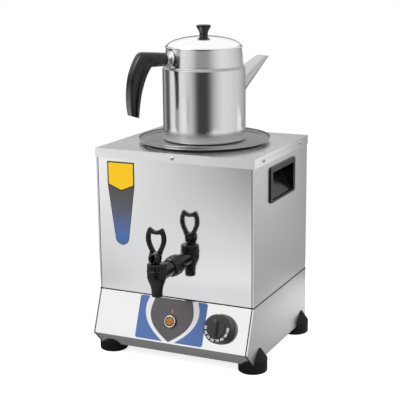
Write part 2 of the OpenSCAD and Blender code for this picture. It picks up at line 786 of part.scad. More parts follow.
// Bulb clipped upright to the tank's wall, and its capillary down to the thermostat
bulb_r = 3.2;
bulb_deg = -38;
bulb_x = (tank_r + bulb_r + 0.2) * cos(bulb_deg);
bulb_y = (tank_r + bulb_r + 0.2) * sin(bulb_deg);
module thermostat_bulb() {
    low = tank_z0 + 16;
    bulb_l = 72;
    capillary_r = 1.1;
    back_h = sheet_t + body_t;
    tail_s = control_s - 10;
    color(brass) union() {
        translate([bulb_x, bulb_y, low]) rotate_extrude() polygon([
            [0, 0], [bulb_r - 1, 0], [bulb_r, 1], [bulb_r, bulb_l - 2], [bulb_r - 1.5, bulb_l], [0, bulb_l]
        ]);
        tube([
            [bulb_x, bulb_y, low + 1], [bulb_x, bulb_y, tank_z0 - 4], [bulb_x, bulb_y, base_z1 - 8],
            panel_point(knob_x - 2, tail_s, -back_h - 26),
            panel_point(knob_x, tail_s, -back_h - 9),
            panel_point(knob_x, tail_s, -back_h - weld_gap)
        ], capillary_r);
    }
}

// ---- Wiring ------------------------------------------------------------------------------------
block_x = -50;
block_y = 84;
block_h = 18;
block_ways_z = sole_z + sheet_t + 8;
block_l = 52;
block_w = 18;
block_lug = 13;
way_pitch = 16;
module at_block_screws() {
    for (x = [-1, 1]) translate([block_x + x * (block_l + block_lug + 1) / 2, block_y, sole_z]) children();
}
module terminal_block() {
    z0 = sole_z + sheet_t;
    color([0.92, 0.92, 0.88])
    difference() {
        union() {
            box([block_x - block_l / 2, block_y - block_w / 2, z0],
                [block_x + block_l / 2, block_y + block_w / 2, z0 + block_h]);
            box([block_x - block_l / 2 - block_lug, block_y - block_w / 3, z0],
                [block_x + block_l / 2 + block_lug, block_y + block_w / 3, z0 + 3]);
        }
        for (i = [-1:1]) translate([block_x + i * way_pitch, block_y, block_ways_z]) {
            cylinder(r = 3, h = 20, $fn = 32);
            rotate([90, 0, 0]) cylinder(r = 2, h = 40, center = true, $fn = 32);
        }
        at_block_screws() cylinder(r = screw_r + screw_play, h = 20, $fn = 32);
    }
}
earth_washer_r = 5.5;
earth_wire_z = sole_z + sheet_t + 5;
module earth_stud() {
    z0 = sole_z + sheet_t;
    color(brass)
    translate([earth_x, earth_y, 0]) union() {
        translate([0, 0, sole_z - 2.5]) cylinder(r = 5, h = 2.5, $fn = 32);
        translate([0, 0, sole_z - 1]) cylinder(r = 2.5, h = 20, $fn = 32);
        translate([0, 0, z0]) hex(8, 4);
        translate([0, 0, z0 + 4.5]) cylinder(r = earth_washer_r, h = 1, $fn = 32);
        translate([0, 0, z0 + 6]) hex(8, 4);
    }
}
module cable_gland() {
    color(black_plastic)
    translate([gland_x, base_back_y, gland_z]) rotate([-90, 0, 0]) difference() {
        union() {
            translate([0, 0, -13]) cylinder(r = gland_r, h = 14);
            hex(26, 6);
            translate([0, 0, 5]) cylinder(r = 12, h = gland_out - 11);
            translate([0, 0, gland_out - 6]) cylinder(r1 = 12, r2 = 8.5, h = 6);
            translate([0, 0, -sheet_t - 6]) hex(25, 6);
        }
        translate([0, 0, -20]) cylinder(r = entry_r, h = 60);
    }
}
// A wire pushed into the block's way i (-1, 0 or 1), from its front (side -1) or its back (side 1)
function block_end(i, side) =
    [for (d = [5, 10, 22]) [block_x + way_pitch * i, block_y + side * d, block_ways_z]];
// A wire pushed on a tab that points down to the point p
function tab_end(p) = [p - [0, 0, 14], p - [0, 0, 7], p - [0, 0, 0.3]];
// A wire pushed on a tab behind the control panel, at x and s
function panel_end(x, s, h) = [for (d = [26, 9, 0.3]) panel_point(x, s, -h - d)];
module wiring() {
    leg_z = tank_z0 - leg_tab;
    cut_z = tank_z0 - cutout_h - cutout_tab;
    color([0.25, 0.45, 0.75]) {
        tube(concat(block_end(-1, -1), [[-40, 10, 34], [50, -60, 40]],
            panel_end(knob_x - tab_x, control_s + tab_y, tab_h)), wire_r);
        tube(concat(block_end(0, -1), [[-10, 50, 70]], tab_end([leg_pitch / 2, leg_y, leg_z])), wire_r);
        tube(concat(reversed(tab_end([-6, cutout_y, cut_z])), [[-16, 20, 96]],
            tab_end([-leg_pitch / 2, leg_y, leg_z])), wire_r);
        tube(concat(reversed(tab_end([6, cutout_y, cut_z])), [[50, -60, 84]],
            panel_end(knob_x + tab_x, control_s + tab_y, tab_h)), wire_r);
    }
    color([0.35, 0.65, 0.25])
        tube(concat(block_end(1, 1), [[-85, 106, 34], [-100, 76, 27]],
            [[earth_x + 2 * earth_washer_r, earth_y, earth_wire_z],
                [earth_x + earth_washer_r + 0.4, earth_y, earth_wire_z]]), wire_r);
    color([0.80, 0.20, 0.15]) for (i = [-1, 0])
        tube(concat(block_end(i, 1), [[block_x + way_pitch * (i - 1), 112, 60 - 6 * i], [-90 + 10 * i, 40, 84],
            [-60 + 10 * i, -50, 84]], panel_end(lamp_tab_x * (1 + 2 * i), control_s, lamp_l + lamp_tab)), wire_r);
}

// ---- Pilot lamp --------------------------------------------------------------------------------
lamp_gap = 0.02;
lamp_collar_h = 3;
lamp_l = 24;
lamp_tab = 8;
lamp_tab_x = 4;
module lamp_body() {
    color([0.2, 0.2, 0.2])
    on_panel(0, control_s) union() {
        translate([0, 0, -lamp_l]) cylinder(r = lens_r + 1, h = lamp_l);
        for (x = [-lamp_tab_x, lamp_tab_x]) translate([x, 0, -lamp_l - lamp_tab])
            box([-tab_t / 2, -tab_w / 3, 0], [tab_t / 2, tab_w / 3, lamp_tab + weld]);
    }
}
module lamp_collar() {
    color(black_plastic)
    on_panel(0, control_s) translate([0, 0, lamp_gap]) ring(lamp_r, lens_r + 0.1, lamp_collar_h);
}
module lamp_ring() {
    color(bright_steel)
    on_panel(0, control_s) translate([0, 0, lamp_collar_h + 2 * lamp_gap]) rotate_extrude() polygon([
        [lens_r + 0.1, 0], [lamp_r - 0.4, 0], [lamp_r - 0.4, 1.6], [lamp_r - 1.4, 2.6], [lens_r + 0.1, 2.6]
    ]);
}
module lamp_lens() {
    dome = 1.8;
    r = (lens_r * lens_r + dome * dome) / (2 * dome);
    color([0.95, 0.55, 0.10, 0.8])
    on_panel(0, control_s) rotate_extrude() polygon(concat(
        [[0, 0], [lens_r, 0]],
        arc([0, 4.4 + dome - r], r, asin((r - dome) / r), 90, 12)
    ));
}

// ---- Tap ---------------------------------------------------------------------------------------
module tap_body() {
    end_y = -tank_r + tank_t + 1;
    color(black_plastic)
    difference() {
        union() {
            translate([0, tap_y, 0]) rotate_extrude() polygon([
                [0, tap_z - tap_drop], [tap_spout_r - 1, tap_z - tap_drop],
                [tap_spout_r, tap_z - tap_drop + 1], [tap_spout_r + 0.2, tap_z - tap_drop + 15],
                [barrel_r - 1.5, tap_z - 8], [barrel_r, tap_z - 3], [barrel_r, bonnet_z],
                [thread_r, bonnet_z], [thread_r, bonnet_z + 10], [0, bonnet_z + 10]
            ]);
            // The shank's neck and thread, scalloped round the bonnet
            difference() {
                translate([0, tap_y, tap_z]) rotate([-90, 0, 0]) union() {
                    cylinder(r = barrel_r - 3.7, h = tap_reach - collar_t - tap_gasket_t);
                    cylinder(r = shank_r, h = end_y - tap_y);
                }
                translate([0, tap_y, bonnet_z]) cylinder(r = bonnet_r + 0.5, h = 20);
            }
        }
        translate([0, tap_y, 0]) {
            translate([0, 0, tap_z - tap_drop - 1]) cylinder(r = way_r, h = tap_drop + 1);
            translate([0, 0, seat_z]) cylinder(r = chamber_r, h = 60);
        }
        translate([0, tap_y, tap_z]) rotate([-90, 0, 0]) cylinder(r = way_r, h = 200);
    }
}
module tap_bonnet() {
    roof_z = bonnet_top - bonnet_roof;
    flutes = 12;
    color(black_plastic)
    translate([0, tap_y, 0]) difference() {
        rotate_extrude() polygon([
            [stem_r + run_play, roof_z], [thread_r + 0.1, roof_z], [thread_r + 0.1, bonnet_z],
            [bonnet_r, bonnet_z], [bonnet_r, bonnet_z + 3.6], [bonnet_r - 0.8, bonnet_z + 4.4],
            [bonnet_r - 0.8, bonnet_top - 2.5], [bonnet_r - 3.3, bonnet_top],
            [stem_r + run_play, bonnet_top]
        ]);
        for (i = [1:flutes]) rotate(360 / flutes * i) translate([bonnet_r + 0.6, 0, bonnet_z + 4.4])
            cylinder(r = 2, h = bonnet_h, $fn = 24);
    }
}
// Round collar nut that clamps the tap on the front panel
module tap_collar() {
    y1 = front_y - tap_gasket_t;
    flange_r = barrel_r + 1.5;
    grip_flats = 8;
    color(black_plastic)
    translate([0, y1, tap_z]) rotate([90, 0, 0]) difference() {
        rotate_extrude() polygon([
            [shank_r + 0.1, 0], [flange_r, 0], [flange_r, 2.5], [flange_r - 1.2, 4],
            [flange_r - 1.2, collar_t - 5], [flange_r - 3.5, collar_t - 0.3],
            [shank_r + 0.1, collar_t - 0.3]
        ]);
        for (i = [1:grip_flats]) rotate(360 / grip_flats * i) translate([flange_r + 0.4, 0, 4])
            cylinder(r = 2.4, h = collar_t, $fn = 24);
    }
}
module tap_gasket() {
    color(silicone)
    translate([0, front_y - tap_gasket_t, tap_z]) rotate([-90, 0, 0])
        ring(17, shank_r + 0.1, tap_gasket_t);
}
module tap_nut() {
    color(zinc)
    translate([0, front_y + sheet_t, tap_z]) rotate([-90, 0, 0]) difference() {
        hex(30, tap_nut_t);
        translate([0, 0, -1]) cylinder(r = shank_r + 0.1, h = 20);
    }
}
seat_cup_h = 4.5;
stem_flange_h = 1.5;
lift = 3.6;
module tap_stem() {
    // The round part stays inside the bonnet, also when the stem is lifted
    round_top = bonnet_top - lift;
    color([0.85, 0.85, 0.83])
    translate([0, tap_y, 0]) difference() {
        union() {
            translate([0, 0, seat_z + seat_cup_h]) cylinder(r = stem_r, h = round_top - seat_z - seat_cup_h);
            translate([0, 0, seat_z + seat_cup_h]) cylinder(r = chamber_r - 3, h = stem_flange_h);
            intersection() {
                box([-eye_w / 2, -10, round_top - weld], [eye_w / 2, 10, pin_z]);
                translate([0, 0, round_top - 1]) cylinder(r = stem_r, h = 40);
            }
            translate([0, 0, pin_z]) rotate([0, 90, 0])
                cylinder(r = stem_r - 0.5, h = eye_w, center = true);
        }
        translate([0, 0, pin_z]) rotate([0, 90, 0]) cylinder(r = pin_r + run_play, h = 20, center = true);
    }
}
module tap_seat_cup() {
    color(silicone)
    translate([0, tap_y, seat_z]) cylinder(r = chamber_r - 2, h = seat_cup_h);
}
// The spring between the stem's collar and the bonnet's roof
module tap_spring() {
    z0 = seat_z + seat_cup_h + stem_flange_h + 0.1;
    z1 = bonnet_top - bonnet_roof - 0.1;
    r = chamber_r - 4.8;
    wire = 0.7;
    turns = 6;
    steps = 16;
    n = turns * steps;
    span = z1 - z0 - 2 * wire;
    color(zinc)
    translate([0, tap_y, z0 + wire])
        sweep([for (k = [0:n]) [r * cos(360 / steps * k), r * sin(360 / steps * k), span * k / n]], wire, 6);
}
module tap_pin() {
    color(zinc)
    translate([0, tap_y, pin_z]) rotate([0, 90, 0]) cylinder(r = pin_r, h = lever_w, center = true);
}
// The finger loop's outer and inner outline: shares of its half width and of its height above the root
loop_outer = [
    [0.44, 0], [0.52, 0.11], [0.74, 0.28], [0.93, 0.44], [1, 0.57], [0.94, 0.73], [0.8, 0.86],
    [0.65, 0.97], [0.54, 1], [0.41, 0.955], [0.22, 0.88], [0, 0.85]
];
loop_inner = [
    [0, 0.04], [0.11, 0.11], [0.28, 0.235], [0.49, 0.38], [0.6, 0.527], [0.6, 0.65], [0.54, 0.74],
    [0.46, 0.776], [0.305, 0.767], [0.15, 0.76], [0, 0.758]
];
loop_root = 5;
lever_top = 9.6;
// The whole outline in (x, z), from half of it as shares
module loop_outline(half) {
    steps = 3;
    side = [for (k = [0:(len(half) - 1) * steps]) curve_point(half, k / steps)];
    polygon([for (p = concat(side, [for (q = reversed(side)) [-q[0], q[1]]]))
        [p[0] * loop_half_w, pin_z + loop_root + p[1] * loop_h]]);
}
module tap_lever() {
    slot = eye_w + 2 * eye_gap;
    color(black_plastic)
    translate([0, tap_y, 0]) difference() {
        union() {
            along_y(loop_d) difference() {
                loop_outline(loop_outer);
                loop_outline(loop_inner);
            }
            translate([0, -cam_rise, pin_z]) rotate([0, 90, 0])
                cylinder(r = cam_r, h = lever_w, center = true);
            box([-lever_w / 2, -loop_d / 2 - 2, pin_z], [lever_w / 2, loop_d / 2, pin_z + lever_top]);
        }
        box([-slot / 2, -40, 0], [slot / 2, 40, pin_z + stem_r + 2.2]);
        translate([0, 0, pin_z]) rotate([0, 90, 0]) cylinder(r = pin_r, h = 60, center = true);
    }
}

// ---- Thermostat knob ---------------------------------------------------------------------------
knob_gap = 1;
knob_socket = 13;
module thermostat_shaft() {
    color(zinc)
    on_panel(knob_x, control_s) translate([0, 0, -sheet_t - 10])
        cylinder(r = shaft_r, h = sheet_t + 10 + knob_gap + knob_skirt_h);
}
module thermostat_knob() {
    face_z = knob_skirt_h + 4;
    bar_h = 8;
    bar_w = 7;
    color(black_plastic)
    on_panel(knob_x, control_s) translate([0, 0, knob_gap]) difference() {
        union() {
            rotate_extrude() polygon([
                [0, 0], [knob_r, 0], [knob_r, 2], [knob_r - 2, knob_skirt_h - 2],
                [knob_r - 4, knob_skirt_h], [knob_face_r, knob_skirt_h],
                [knob_face_r - 0.6, face_z], [0, face_z]
            ]);
            intersection() {
                box([-bar_w / 2, -knob_face_r, face_z - 1], [bar_w / 2, knob_face_r, face_z + bar_h]);
                cylinder(r1 = knob_face_r + 2, r2 = knob_face_r - 2, h = face_z + bar_h);
            }
        }
        translate([0, 0, -1]) cylinder(r = knob_r - 4, h = 4.5);
        translate([0, 0, -1]) cylinder(r = shaft_r, h = knob_skirt_h + 1.05);
    }
}

// ---- Plate on the tank's mouth -----------------------------------------------------------------
module pot_plate() {
    ring_r = mouth_r - 1.5;
    color(sheet_steel)
    rotate_extrude() polygon([
        [0, plate_z], [ring_r - plate_t, plate_z], [ring_r - plate_t, plate_z - plate_ring_h],
        [ring_r, plate_z - plate_ring_h], [ring_r, plate_z], [plate_r - 1.6, plate_z],
        [plate_r, plate_z + 1.6], [plate_r, plate_top + plate_rim_h],
        [plate_r - plate_t, plate_top + plate_rim_h], [plate_r - plate_t, plate_z + 1.9],
        [plate_r - 1.9, plate_top], [0, plate_top]
    ]);
}

// ---- Teapot ------------------------------------------------------------------------------------
// Places children in the teapot's frame: x towards the spout, z up from the pot's bottom
module in_pot() { translate([0, 0, pot_z]) rotate(90 - pot_turn) children(); }
neck_top = shoulder_h + neck_h;
neck_foot_z = shoulder_h + 5.5;
// The neck flares where it meets the shoulder
flare_z = shoulder_h + 3.2;
flare_r = neck_foot_r + 0.8;
// Outer radius of the neck at the handle's socket
socket_neck_r = neck_foot_r
    - (neck_foot_r - neck_r) * (grip_h - neck_foot_z) / (neck_top - neck_foot_z);
// The pot's profile (r, z), moved inwards by d
function pot_profile(d) = concat(
    arc([pot_r - pot_corner_r, pot_corner_r], pot_corner_r - d, -90, 0, 10),
    arc([pot_r - 3, shoulder_h - 1.5], 3 - d, 0, 70, 6),
    [[flare_r - d, flare_z], [neck_foot_r - d, neck_foot_z], [neck_r - d, neck_top]]
);
strainer_r = 2;
module pot_body() {
    color(bright_steel)
    in_pot() difference() {
        rotate_extrude() polygon(concat(
            [[0, 0]], pot_profile(0), reversed(pot_profile(pot_t)), [[0, pot_t]]
        ));
        for (z = [-1:1], a = [-1:1]) translate([0, 0, spout_mid + 8 * z]) rotate([0, 90, 6.5 * a])
            cylinder(r = strainer_r, h = 200, $fn = 32);
    }
}
spout_low = 65;
spout_high = 118;
spout_mid = (spout_low + spout_high) / 2;
// Cross-section of the spout at s from 0 (root) to 1 (lip); d is the wall taken off it.
// Its long axis leans from upright at the root to level at the lip.
function spout_ring(s, d) =
    let (
        lip_in = spout_reach - 24.5,
        low = [pot_r - 9, spout_low - 8] * (1 - s) + [spout_reach, spout_top - 1.5] * s,
        high = [neck_r - 9, spout_high - 5] * (1 - s) + [lip_in, spout_top] * s,
        mid = (low + high) / 2,
        half = norm(high - low) / 2 - d,
        dir = unit(high - low),
        wide = 17 * (1 - s) + 9.5 * s - d
    )
    [for (i = [0:31]) let (c = cos(360 * i / 32), w = sin(360 * i / 32))
        [mid[0] + dir[0] * half * c, -wide * w, mid[1] + dir[1] * half * c]];
module pot_spout() {
    color(bright_steel)
    in_pot() difference() {
        loft([for (s = [0:0.25:1]) spout_ring(s, 0)]);
        loft([for (s = [-0.3:0.35:1.1]) spout_ring(s, pot_t)]);
        translate([0, 0, -5]) cylinder(r = pot_r + weld_gap, h = neck_top);
    }
}

ferrule_r = 6.4;
ferrule_end = neck_r + 9.2;
boss_r = 13.5;
boss_t = 1.6;
tang_r = 5;
tang_l = 14;
// The handle side of the pot is at -x in the pot's frame
module pot_ferrule() {
    color(bright_steel)
    in_pot() difference() {
        translate([0, 0, grip_h]) rotate([0, -90, 0]) {
            translate([0, 0, neck_r - 8]) cylinder(r = boss_r, h = socket_neck_r + boss_t - neck_r + 8);
            translate([0, 0, neck_r]) cylinder(r = ferrule_r, h = ferrule_end - neck_r);
            translate([0, 0, neck_r]) cylinder(r = tang_r, h = ferrule_end - neck_r + tang_l);
        }
        translate([-grip_reach, 0, grip_h]) rotate([0, 90, 0])
            cylinder(r = grip_screw_r + 0.1, h = grip_reach - socket_neck_r - 4, $fn = 32);
        rotate_extrude() polygon([
            [0, flare_z], [flare_r + weld_gap, flare_z], [neck_foot_r + weld_gap, neck_foot_z],
            [neck_r + weld_gap, neck_top], [0, neck_top]
        ]);
    }
}

// The grip's edges run from the arm to its lower end. u is the share of the reach past the grip's
// start, v the share of its height, down from its top.
grip_start = neck_r + 21.2;
grip_top = grip_h + 14.7;
arm_r = grip_r - 0.6;
arm_end = grip_start + 0.37 * (grip_reach - grip_start);
grip_screw_r = 1.6;
grip_screw_head_r = 3.8;
function grip_point(p) = [grip_start + p[0] * (grip_reach - grip_start), grip_top - p[1] * grip_drop];
// At each station: u and v of the outer edge, u and v of the inner edge, share of the half width
grip_stations = [
    [0, 0.023, 0.29, 0.215, 0.9], [0.2, 0.011, 0.3, 0.226, 1.05], [0.4, 0.003, 0.326, 0.252, 1.07],
    [0.546, 0, 0.36, 0.284, 1.07], [0.646, 0.027, 0.394, 0.322, 1.05], [0.754, 0.113, 0.44, 0.375, 1.02],
    [0.857, 0.236, 0.492, 0.455, 0.97], [0.934, 0.364, 0.542, 0.542, 0.92],
    [0.985, 0.533, 0.591, 0.649, 0.87], [1, 0.704, 0.631, 0.777, 0.82], [0.99, 0.836, 0.658, 0.892, 0.77],
    [0.954, 0.948, 0.682, 1, 0.7]
];
// A rounded-square section between the station's two edges
function grip_ring(p) =
    let (n = 24, a = grip_point([p[0], p[1]]), b = grip_point([p[2], p[3]]))
    [for (i = [0:n - 1])
        let (
            c = cos(360 * i / n), w = sin(360 * i / n),
            bulge = 1 / pow(pow(abs(c), 3) + pow(abs(w), 3), 1 / 3),
            q = (a + b) / 2 + (a - b) / 2 * c * bulge
        )
        [-q[0], p[4] * grip_r * w * bulge, q[1]]];
module pot_grip() {
    head_x = ferrule_end + tang_l + 12;
    color(black_plastic)
    in_pot() difference() {
        union() {
            loft([for (p = grip_stations) grip_ring(p)]);
            translate([-arm_end, 0, grip_h]) rotate([0, 90, 0]) rotate_extrude() polygon([
                [0, 0], [arm_r, 0], [arm_r, arm_end - ferrule_end - 2],
                [arm_r - 1.5, arm_end - ferrule_end - 0.1], [0, arm_end - ferrule_end - 0.1]
            ]);
        }
        translate([-ferrule_end - tang_l - 0.5, 0, grip_h]) rotate([0, 90, 0])
            cylinder(r = tang_r + 0.1, h = 2 * tang_l);
        translate([-grip_reach, 0, grip_h]) rotate([0, 90, 0])
            cylinder(r = grip_screw_r + 0.3, h = grip_reach - ferrule_end, $fn = 32);
        translate([-grip_reach, 0, grip_h]) rotate([0, 90, 0])
            cylinder(r = grip_screw_head_r + 0.4, h = grip_reach - head_x, $fn = 32);
    }
}
module pot_grip_screw() {
    from = ferrule_end + tang_l;
    color(zinc)
    in_pot() translate([0, 0, grip_h]) rotate([0, -90, 0]) {
        translate([0, 0, from + 12.1]) cylinder(r = grip_screw_head_r, h = 2.6, $fn = 32);
        translate([0, 0, from - 8]) cylinder(r = grip_screw_r, h = 20.5, $fn = 32);
    }
}

lid_r = neck_r + 2.5;
brim_w = 2.7;
dome_z = neck_top + 1;
// A dome fuller than a circle's arc: its height follows a power of the angle's sine
function dome_line(r, z0, h) = [for (i = [0:20]) [r * cos(4.5 * i), z0 + h * pow(sin(4.5 * i), 1.2)]];
module pot_lid() {
    skirt_r = neck_r - pot_t - 0.5;
    skirt_h = 8;
    color(white_steel)
    in_pot() difference() {
        union() {
            rotate_extrude() polygon(concat(
                [[lid_r - 0.3, neck_top + 0.2], [lid_r, neck_top + 0.6], [lid_r - 0.3, dome_z]],
                dome_line(lid_r - brim_w, dome_z, dome_h),
                reversed(dome_line(skirt_r - pot_t / 2, neck_top + 0.2, dome_h + 0.8 - pot_t))
            ));
            translate([0, 0, neck_top - skirt_h]) ring(skirt_r, skirt_r - pot_t, skirt_h + 0.6);
        }
        cylinder(r = 2.2, h = 400, $fn = 32);
    }
}
knob_base = dome_z + dome_h;
module pot_lid_knob() {
    foot_r = 7.2;
    rim_h = 4;
    cone_h = lid_knob_h - rim_h;
    color(black_plastic)
    in_pot() translate([0, 0, knob_base + 0.05]) difference() {
        rotate_extrude() polygon(concat(
            [[0, 0], [foot_r + 0.6, 0], [foot_r + 0.6, 0.8], [foot_r, 1.6]],
            [for (t = [0.2:0.1:1]) [foot_r + (lid_knob_r - foot_r) * pow(t, 1.8), cone_h * t]],
            [[lid_knob_r, lid_knob_h - 1], [lid_knob_r - 1.2, lid_knob_h - 0.4], [0, lid_knob_h]]
        ));
        translate([0, 0, -1]) cylinder(r = 2.1, h = 13, $fn = 32);
    }
}
module pot_lid_screw() {
    color(zinc)
    in_pot() translate([0, 0, knob_base - pot_t - 0.15]) {
        translate([0, 0, -2.4]) cylinder(r = 4.2, h = 2.4, $fn = 32);
        translate([0, 0, -1]) cylinder(r = 2, h = 12, $fn = 32);
    }
}

placed() top_cover();
placed() cover_screws();
placed() front_panel();
placed() casing_wrap();
placed() deck_plate();
placed() base_front();
placed() base_wrap();
placed() bottom_plate();
placed() bottom_screws();
placed() foot_front_left();
placed() foot_front_right();
placed() foot_rear_left();
placed() foot_rear_right();
placed() foot_screws();
placed() handle_cup_left();
placed() handle_cup_right();
placed() badge();
placed() control_label();
placed() water_tank();
placed() tank_legs();
placed() mouth_gasket();
placed() heating_element();
placed() element_nuts();
placed() limit_cutout();
placed() thermostat_body();
placed() thermostat_screws();
placed() thermostat_bulb();
placed() terminal_block();
placed() earth_stud();
placed() cable_gland();
placed() wiring();
placed() lamp_body();
placed() lamp_collar();
placed() lamp_ring();
placed() lamp_lens();
placed() tap_body();
placed() tap_bonnet();
placed() tap_collar();
placed() tap_gasket();
placed() tap_nut();
placed() tap_stem();
placed() tap_seat_cup();
placed() tap_spring();
placed() tap_pin();
placed() tap_lever();
placed() thermostat_shaft();
placed() thermostat_knob();
placed() pot_plate();
placed() pot_body();
placed() pot_spout();
placed() pot_ferrule();
placed() pot_grip();
placed() pot_grip_screw();
placed() pot_lid();
placed() pot_lid_knob();
placed() pot_lid_screw();
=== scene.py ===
"""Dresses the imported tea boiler: sheets, teapot, tap, knob, lamp, badge and studio."""

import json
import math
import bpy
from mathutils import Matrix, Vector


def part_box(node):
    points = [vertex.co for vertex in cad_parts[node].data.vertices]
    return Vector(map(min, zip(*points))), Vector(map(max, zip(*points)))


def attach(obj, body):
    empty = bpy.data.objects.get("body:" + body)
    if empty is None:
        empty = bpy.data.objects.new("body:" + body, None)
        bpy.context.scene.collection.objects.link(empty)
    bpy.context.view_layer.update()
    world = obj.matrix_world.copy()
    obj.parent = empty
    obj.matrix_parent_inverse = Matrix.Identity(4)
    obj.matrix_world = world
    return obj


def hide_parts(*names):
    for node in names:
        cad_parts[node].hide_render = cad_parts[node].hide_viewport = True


bl_info = {
    "name": "Tea boiler dresser",
    "version": (1, 0, 0),
    "blender": (4, 5, 0),
    "location": "View3D > Sidebar > Tea boiler",
    "description": "Builds the visible surfaces and finishes of a tea boiler over its packed frame",
    "category": "Object",
}

from collections import namedtuple

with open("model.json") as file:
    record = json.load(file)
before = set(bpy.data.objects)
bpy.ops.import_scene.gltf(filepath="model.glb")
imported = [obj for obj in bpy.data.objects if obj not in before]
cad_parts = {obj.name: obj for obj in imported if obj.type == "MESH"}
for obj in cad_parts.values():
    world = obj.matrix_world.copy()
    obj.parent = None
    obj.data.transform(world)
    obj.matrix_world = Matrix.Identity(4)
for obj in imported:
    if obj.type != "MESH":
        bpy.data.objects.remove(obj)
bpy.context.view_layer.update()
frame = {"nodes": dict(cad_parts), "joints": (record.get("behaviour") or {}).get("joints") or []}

import bmesh
import bpy
import numpy as np
from bpy.props import FloatProperty, FloatVectorProperty, PointerProperty
from mathutils import Matrix, Vector

MM = 0.001
NODES = frame["nodes"]

# The cabinet's middle: every size below is in millimetres from there, with z from the floor
MIDDLE_Y = sum(corner.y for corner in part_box("top_cover")) / 2

Spot = namedtuple("Spot", "x y z")
Box = namedtuple("Box", "low high middle size")


def box(node):
    """A CAD node's corners, middle and size, in millimetres from the cabinet's middle."""
    low, high = (np.array(corner) / MM - (0, MIDDLE_Y / MM, 0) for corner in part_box(node))
    return Box(*(Spot(*values) for values in (low, high, (low + high) / 2, high - low)))


COVER_TOP = box("top_cover").high.z
CASING_X = box("casing_wrap").high.x
CASING_Y = box("front_panel").low.y
POT_Z = box("pot_body").low.z
TAP_Y = box("tap_stem").middle.y
BONNET = box("tap_bonnet").low.z, box("tap_bonnet").high.z
# The control panel: its outward and upward directions, and the knob's and lamp's places on it
TURN = next(j for j in frame["joints"] if j["name"] == "thermostat_turn")
PANEL_OUT = -np.array(TURN["axis"])
PANEL_UP = np.array([0, PANEL_OUT[2], -PANEL_OUT[1]])
PANEL_TURN = np.array([(1, 0, 0), PANEL_UP, PANEL_OUT], float).T
KNOB_AT = np.array(TURN["pos_m"]) / MM - np.array([0, MIDDLE_Y / MM, 0])
LAMP_AT = KNOB_AT * np.array([0, 1, 1])
# Height of the knob's face over the panel
KNOB_FACE = 19


# ---- Sizes and colours a user would change ---------------------------------------------------
class BoilerSteel(bpy.types.PropertyGroup):
    """Colours and polish of the steel."""

    polished: FloatVectorProperty(
        name="Polished steel", description="Colour of the mirror-polished sheets",
        default=(0.86, 0.86, 0.87), subtype="COLOR", min=0, max=1)
    satin: FloatVectorProperty(
        name="Satin steel", description="Colour of the satin side sheets",
        default=(0.76, 0.76, 0.77), subtype="COLOR", min=0, max=1)
    polish: FloatProperty(
        name="Polish", description="Roughness of the polished steel", default=0.07, min=0, max=1,
        subtype="FACTOR")
    satin_roughness: FloatProperty(
        name="Satin roughness", description="Roughness of the satin steel", default=0.30, min=0,
        max=1, subtype="FACTOR")


class BoilerPlastics(bpy.types.PropertyGroup):
    """Colours of the mouldings and prints."""

    black: FloatVectorProperty(
        name="Black moulding", description="Colour of the black handles, tap and knob",
        default=(0.0042, 0.0036, 0.0034), subtype="COLOR", min=0, max=1)
    foot: FloatVectorProperty(
        name="Feet", description="Colour of the rubbery feet", default=(0.0085, 0.008, 0.0075),
        subtype="COLOR", min=0, max=1)
    yellow: FloatVectorProperty(
        name="Badge yellow", description="Upper field of the badge", default=(1.0, 0.60, 0.0),
        subtype="COLOR", min=0, max=1)
    blue: FloatVectorProperty(
        name="Print blue", description="Blue of the label and of the badge's end",
        default=(0.062, 0.135, 0.36), subtype="COLOR", min=0, max=1)
    grey: FloatVectorProperty(
        name="Print grey", description="Grey shield of the label and of the badge",
        default=(0.075, 0.070, 0.075), subtype="COLOR", min=0, max=1)
    amber: FloatVectorProperty(
        name="Lamp amber", description="Colour of the pilot lamp's lens", default=(0.42, 0.15, 0.012),
        subtype="COLOR", min=0, max=1)


class BoilerStudio(bpy.types.PropertyGroup):
    """Light level and lens."""

    key: FloatProperty(
        name="Key light", description="Power of the soft key light", default=26.0, min=0, unit="POWER")
    lens: FloatProperty(
        name="Lens", description="Focal length of the camera", default=94.46, min=20, max=300,
        subtype="DISTANCE_CAMERA")


def setting(group):
    return getattr(bpy.context.scene, "boiler_" + group)


# ---- Surfaces --------------------------------------------------------------------------------
def placed(points):
    """Millimetres from the cabinet's middle to metres in the shared frame."""
    return np.asarray(points, float) * MM + np.array([0, MIDDLE_Y, 0])


def new_object(name, mesh):
    obj = bpy.data.objects.new(name, mesh)
    bpy.context.scene.collection.objects.link(obj)
    return obj


def read(items, key, width=1, kind=float):
    """One property of a mesh's points, corners or faces as an array."""
    values = np.empty(len(items) * width, kind)
    items.foreach_get(key, values)
    return values.reshape(-1, width) if width > 1 else values


def tidied(mesh, sharp):
    """Merges doubled points, turns the faces outwards and marks edges above an angle as sharp."""
    bm = bmesh.new()
    bm.from_mesh(mesh)
    bmesh.ops.remove_doubles(bm, verts=bm.verts, dist=2e-6)
    bmesh.ops.recalc_face_normals(bm, faces=bm.faces)
    bm.to_mesh(mesh)
    bm.free()
    mesh.polygons.foreach_set("use_smooth", np.ones(len(mesh.polygons), bool))
    mesh.set_sharp_from_angle(angle=math.radians(sharp))
    mesh.update()


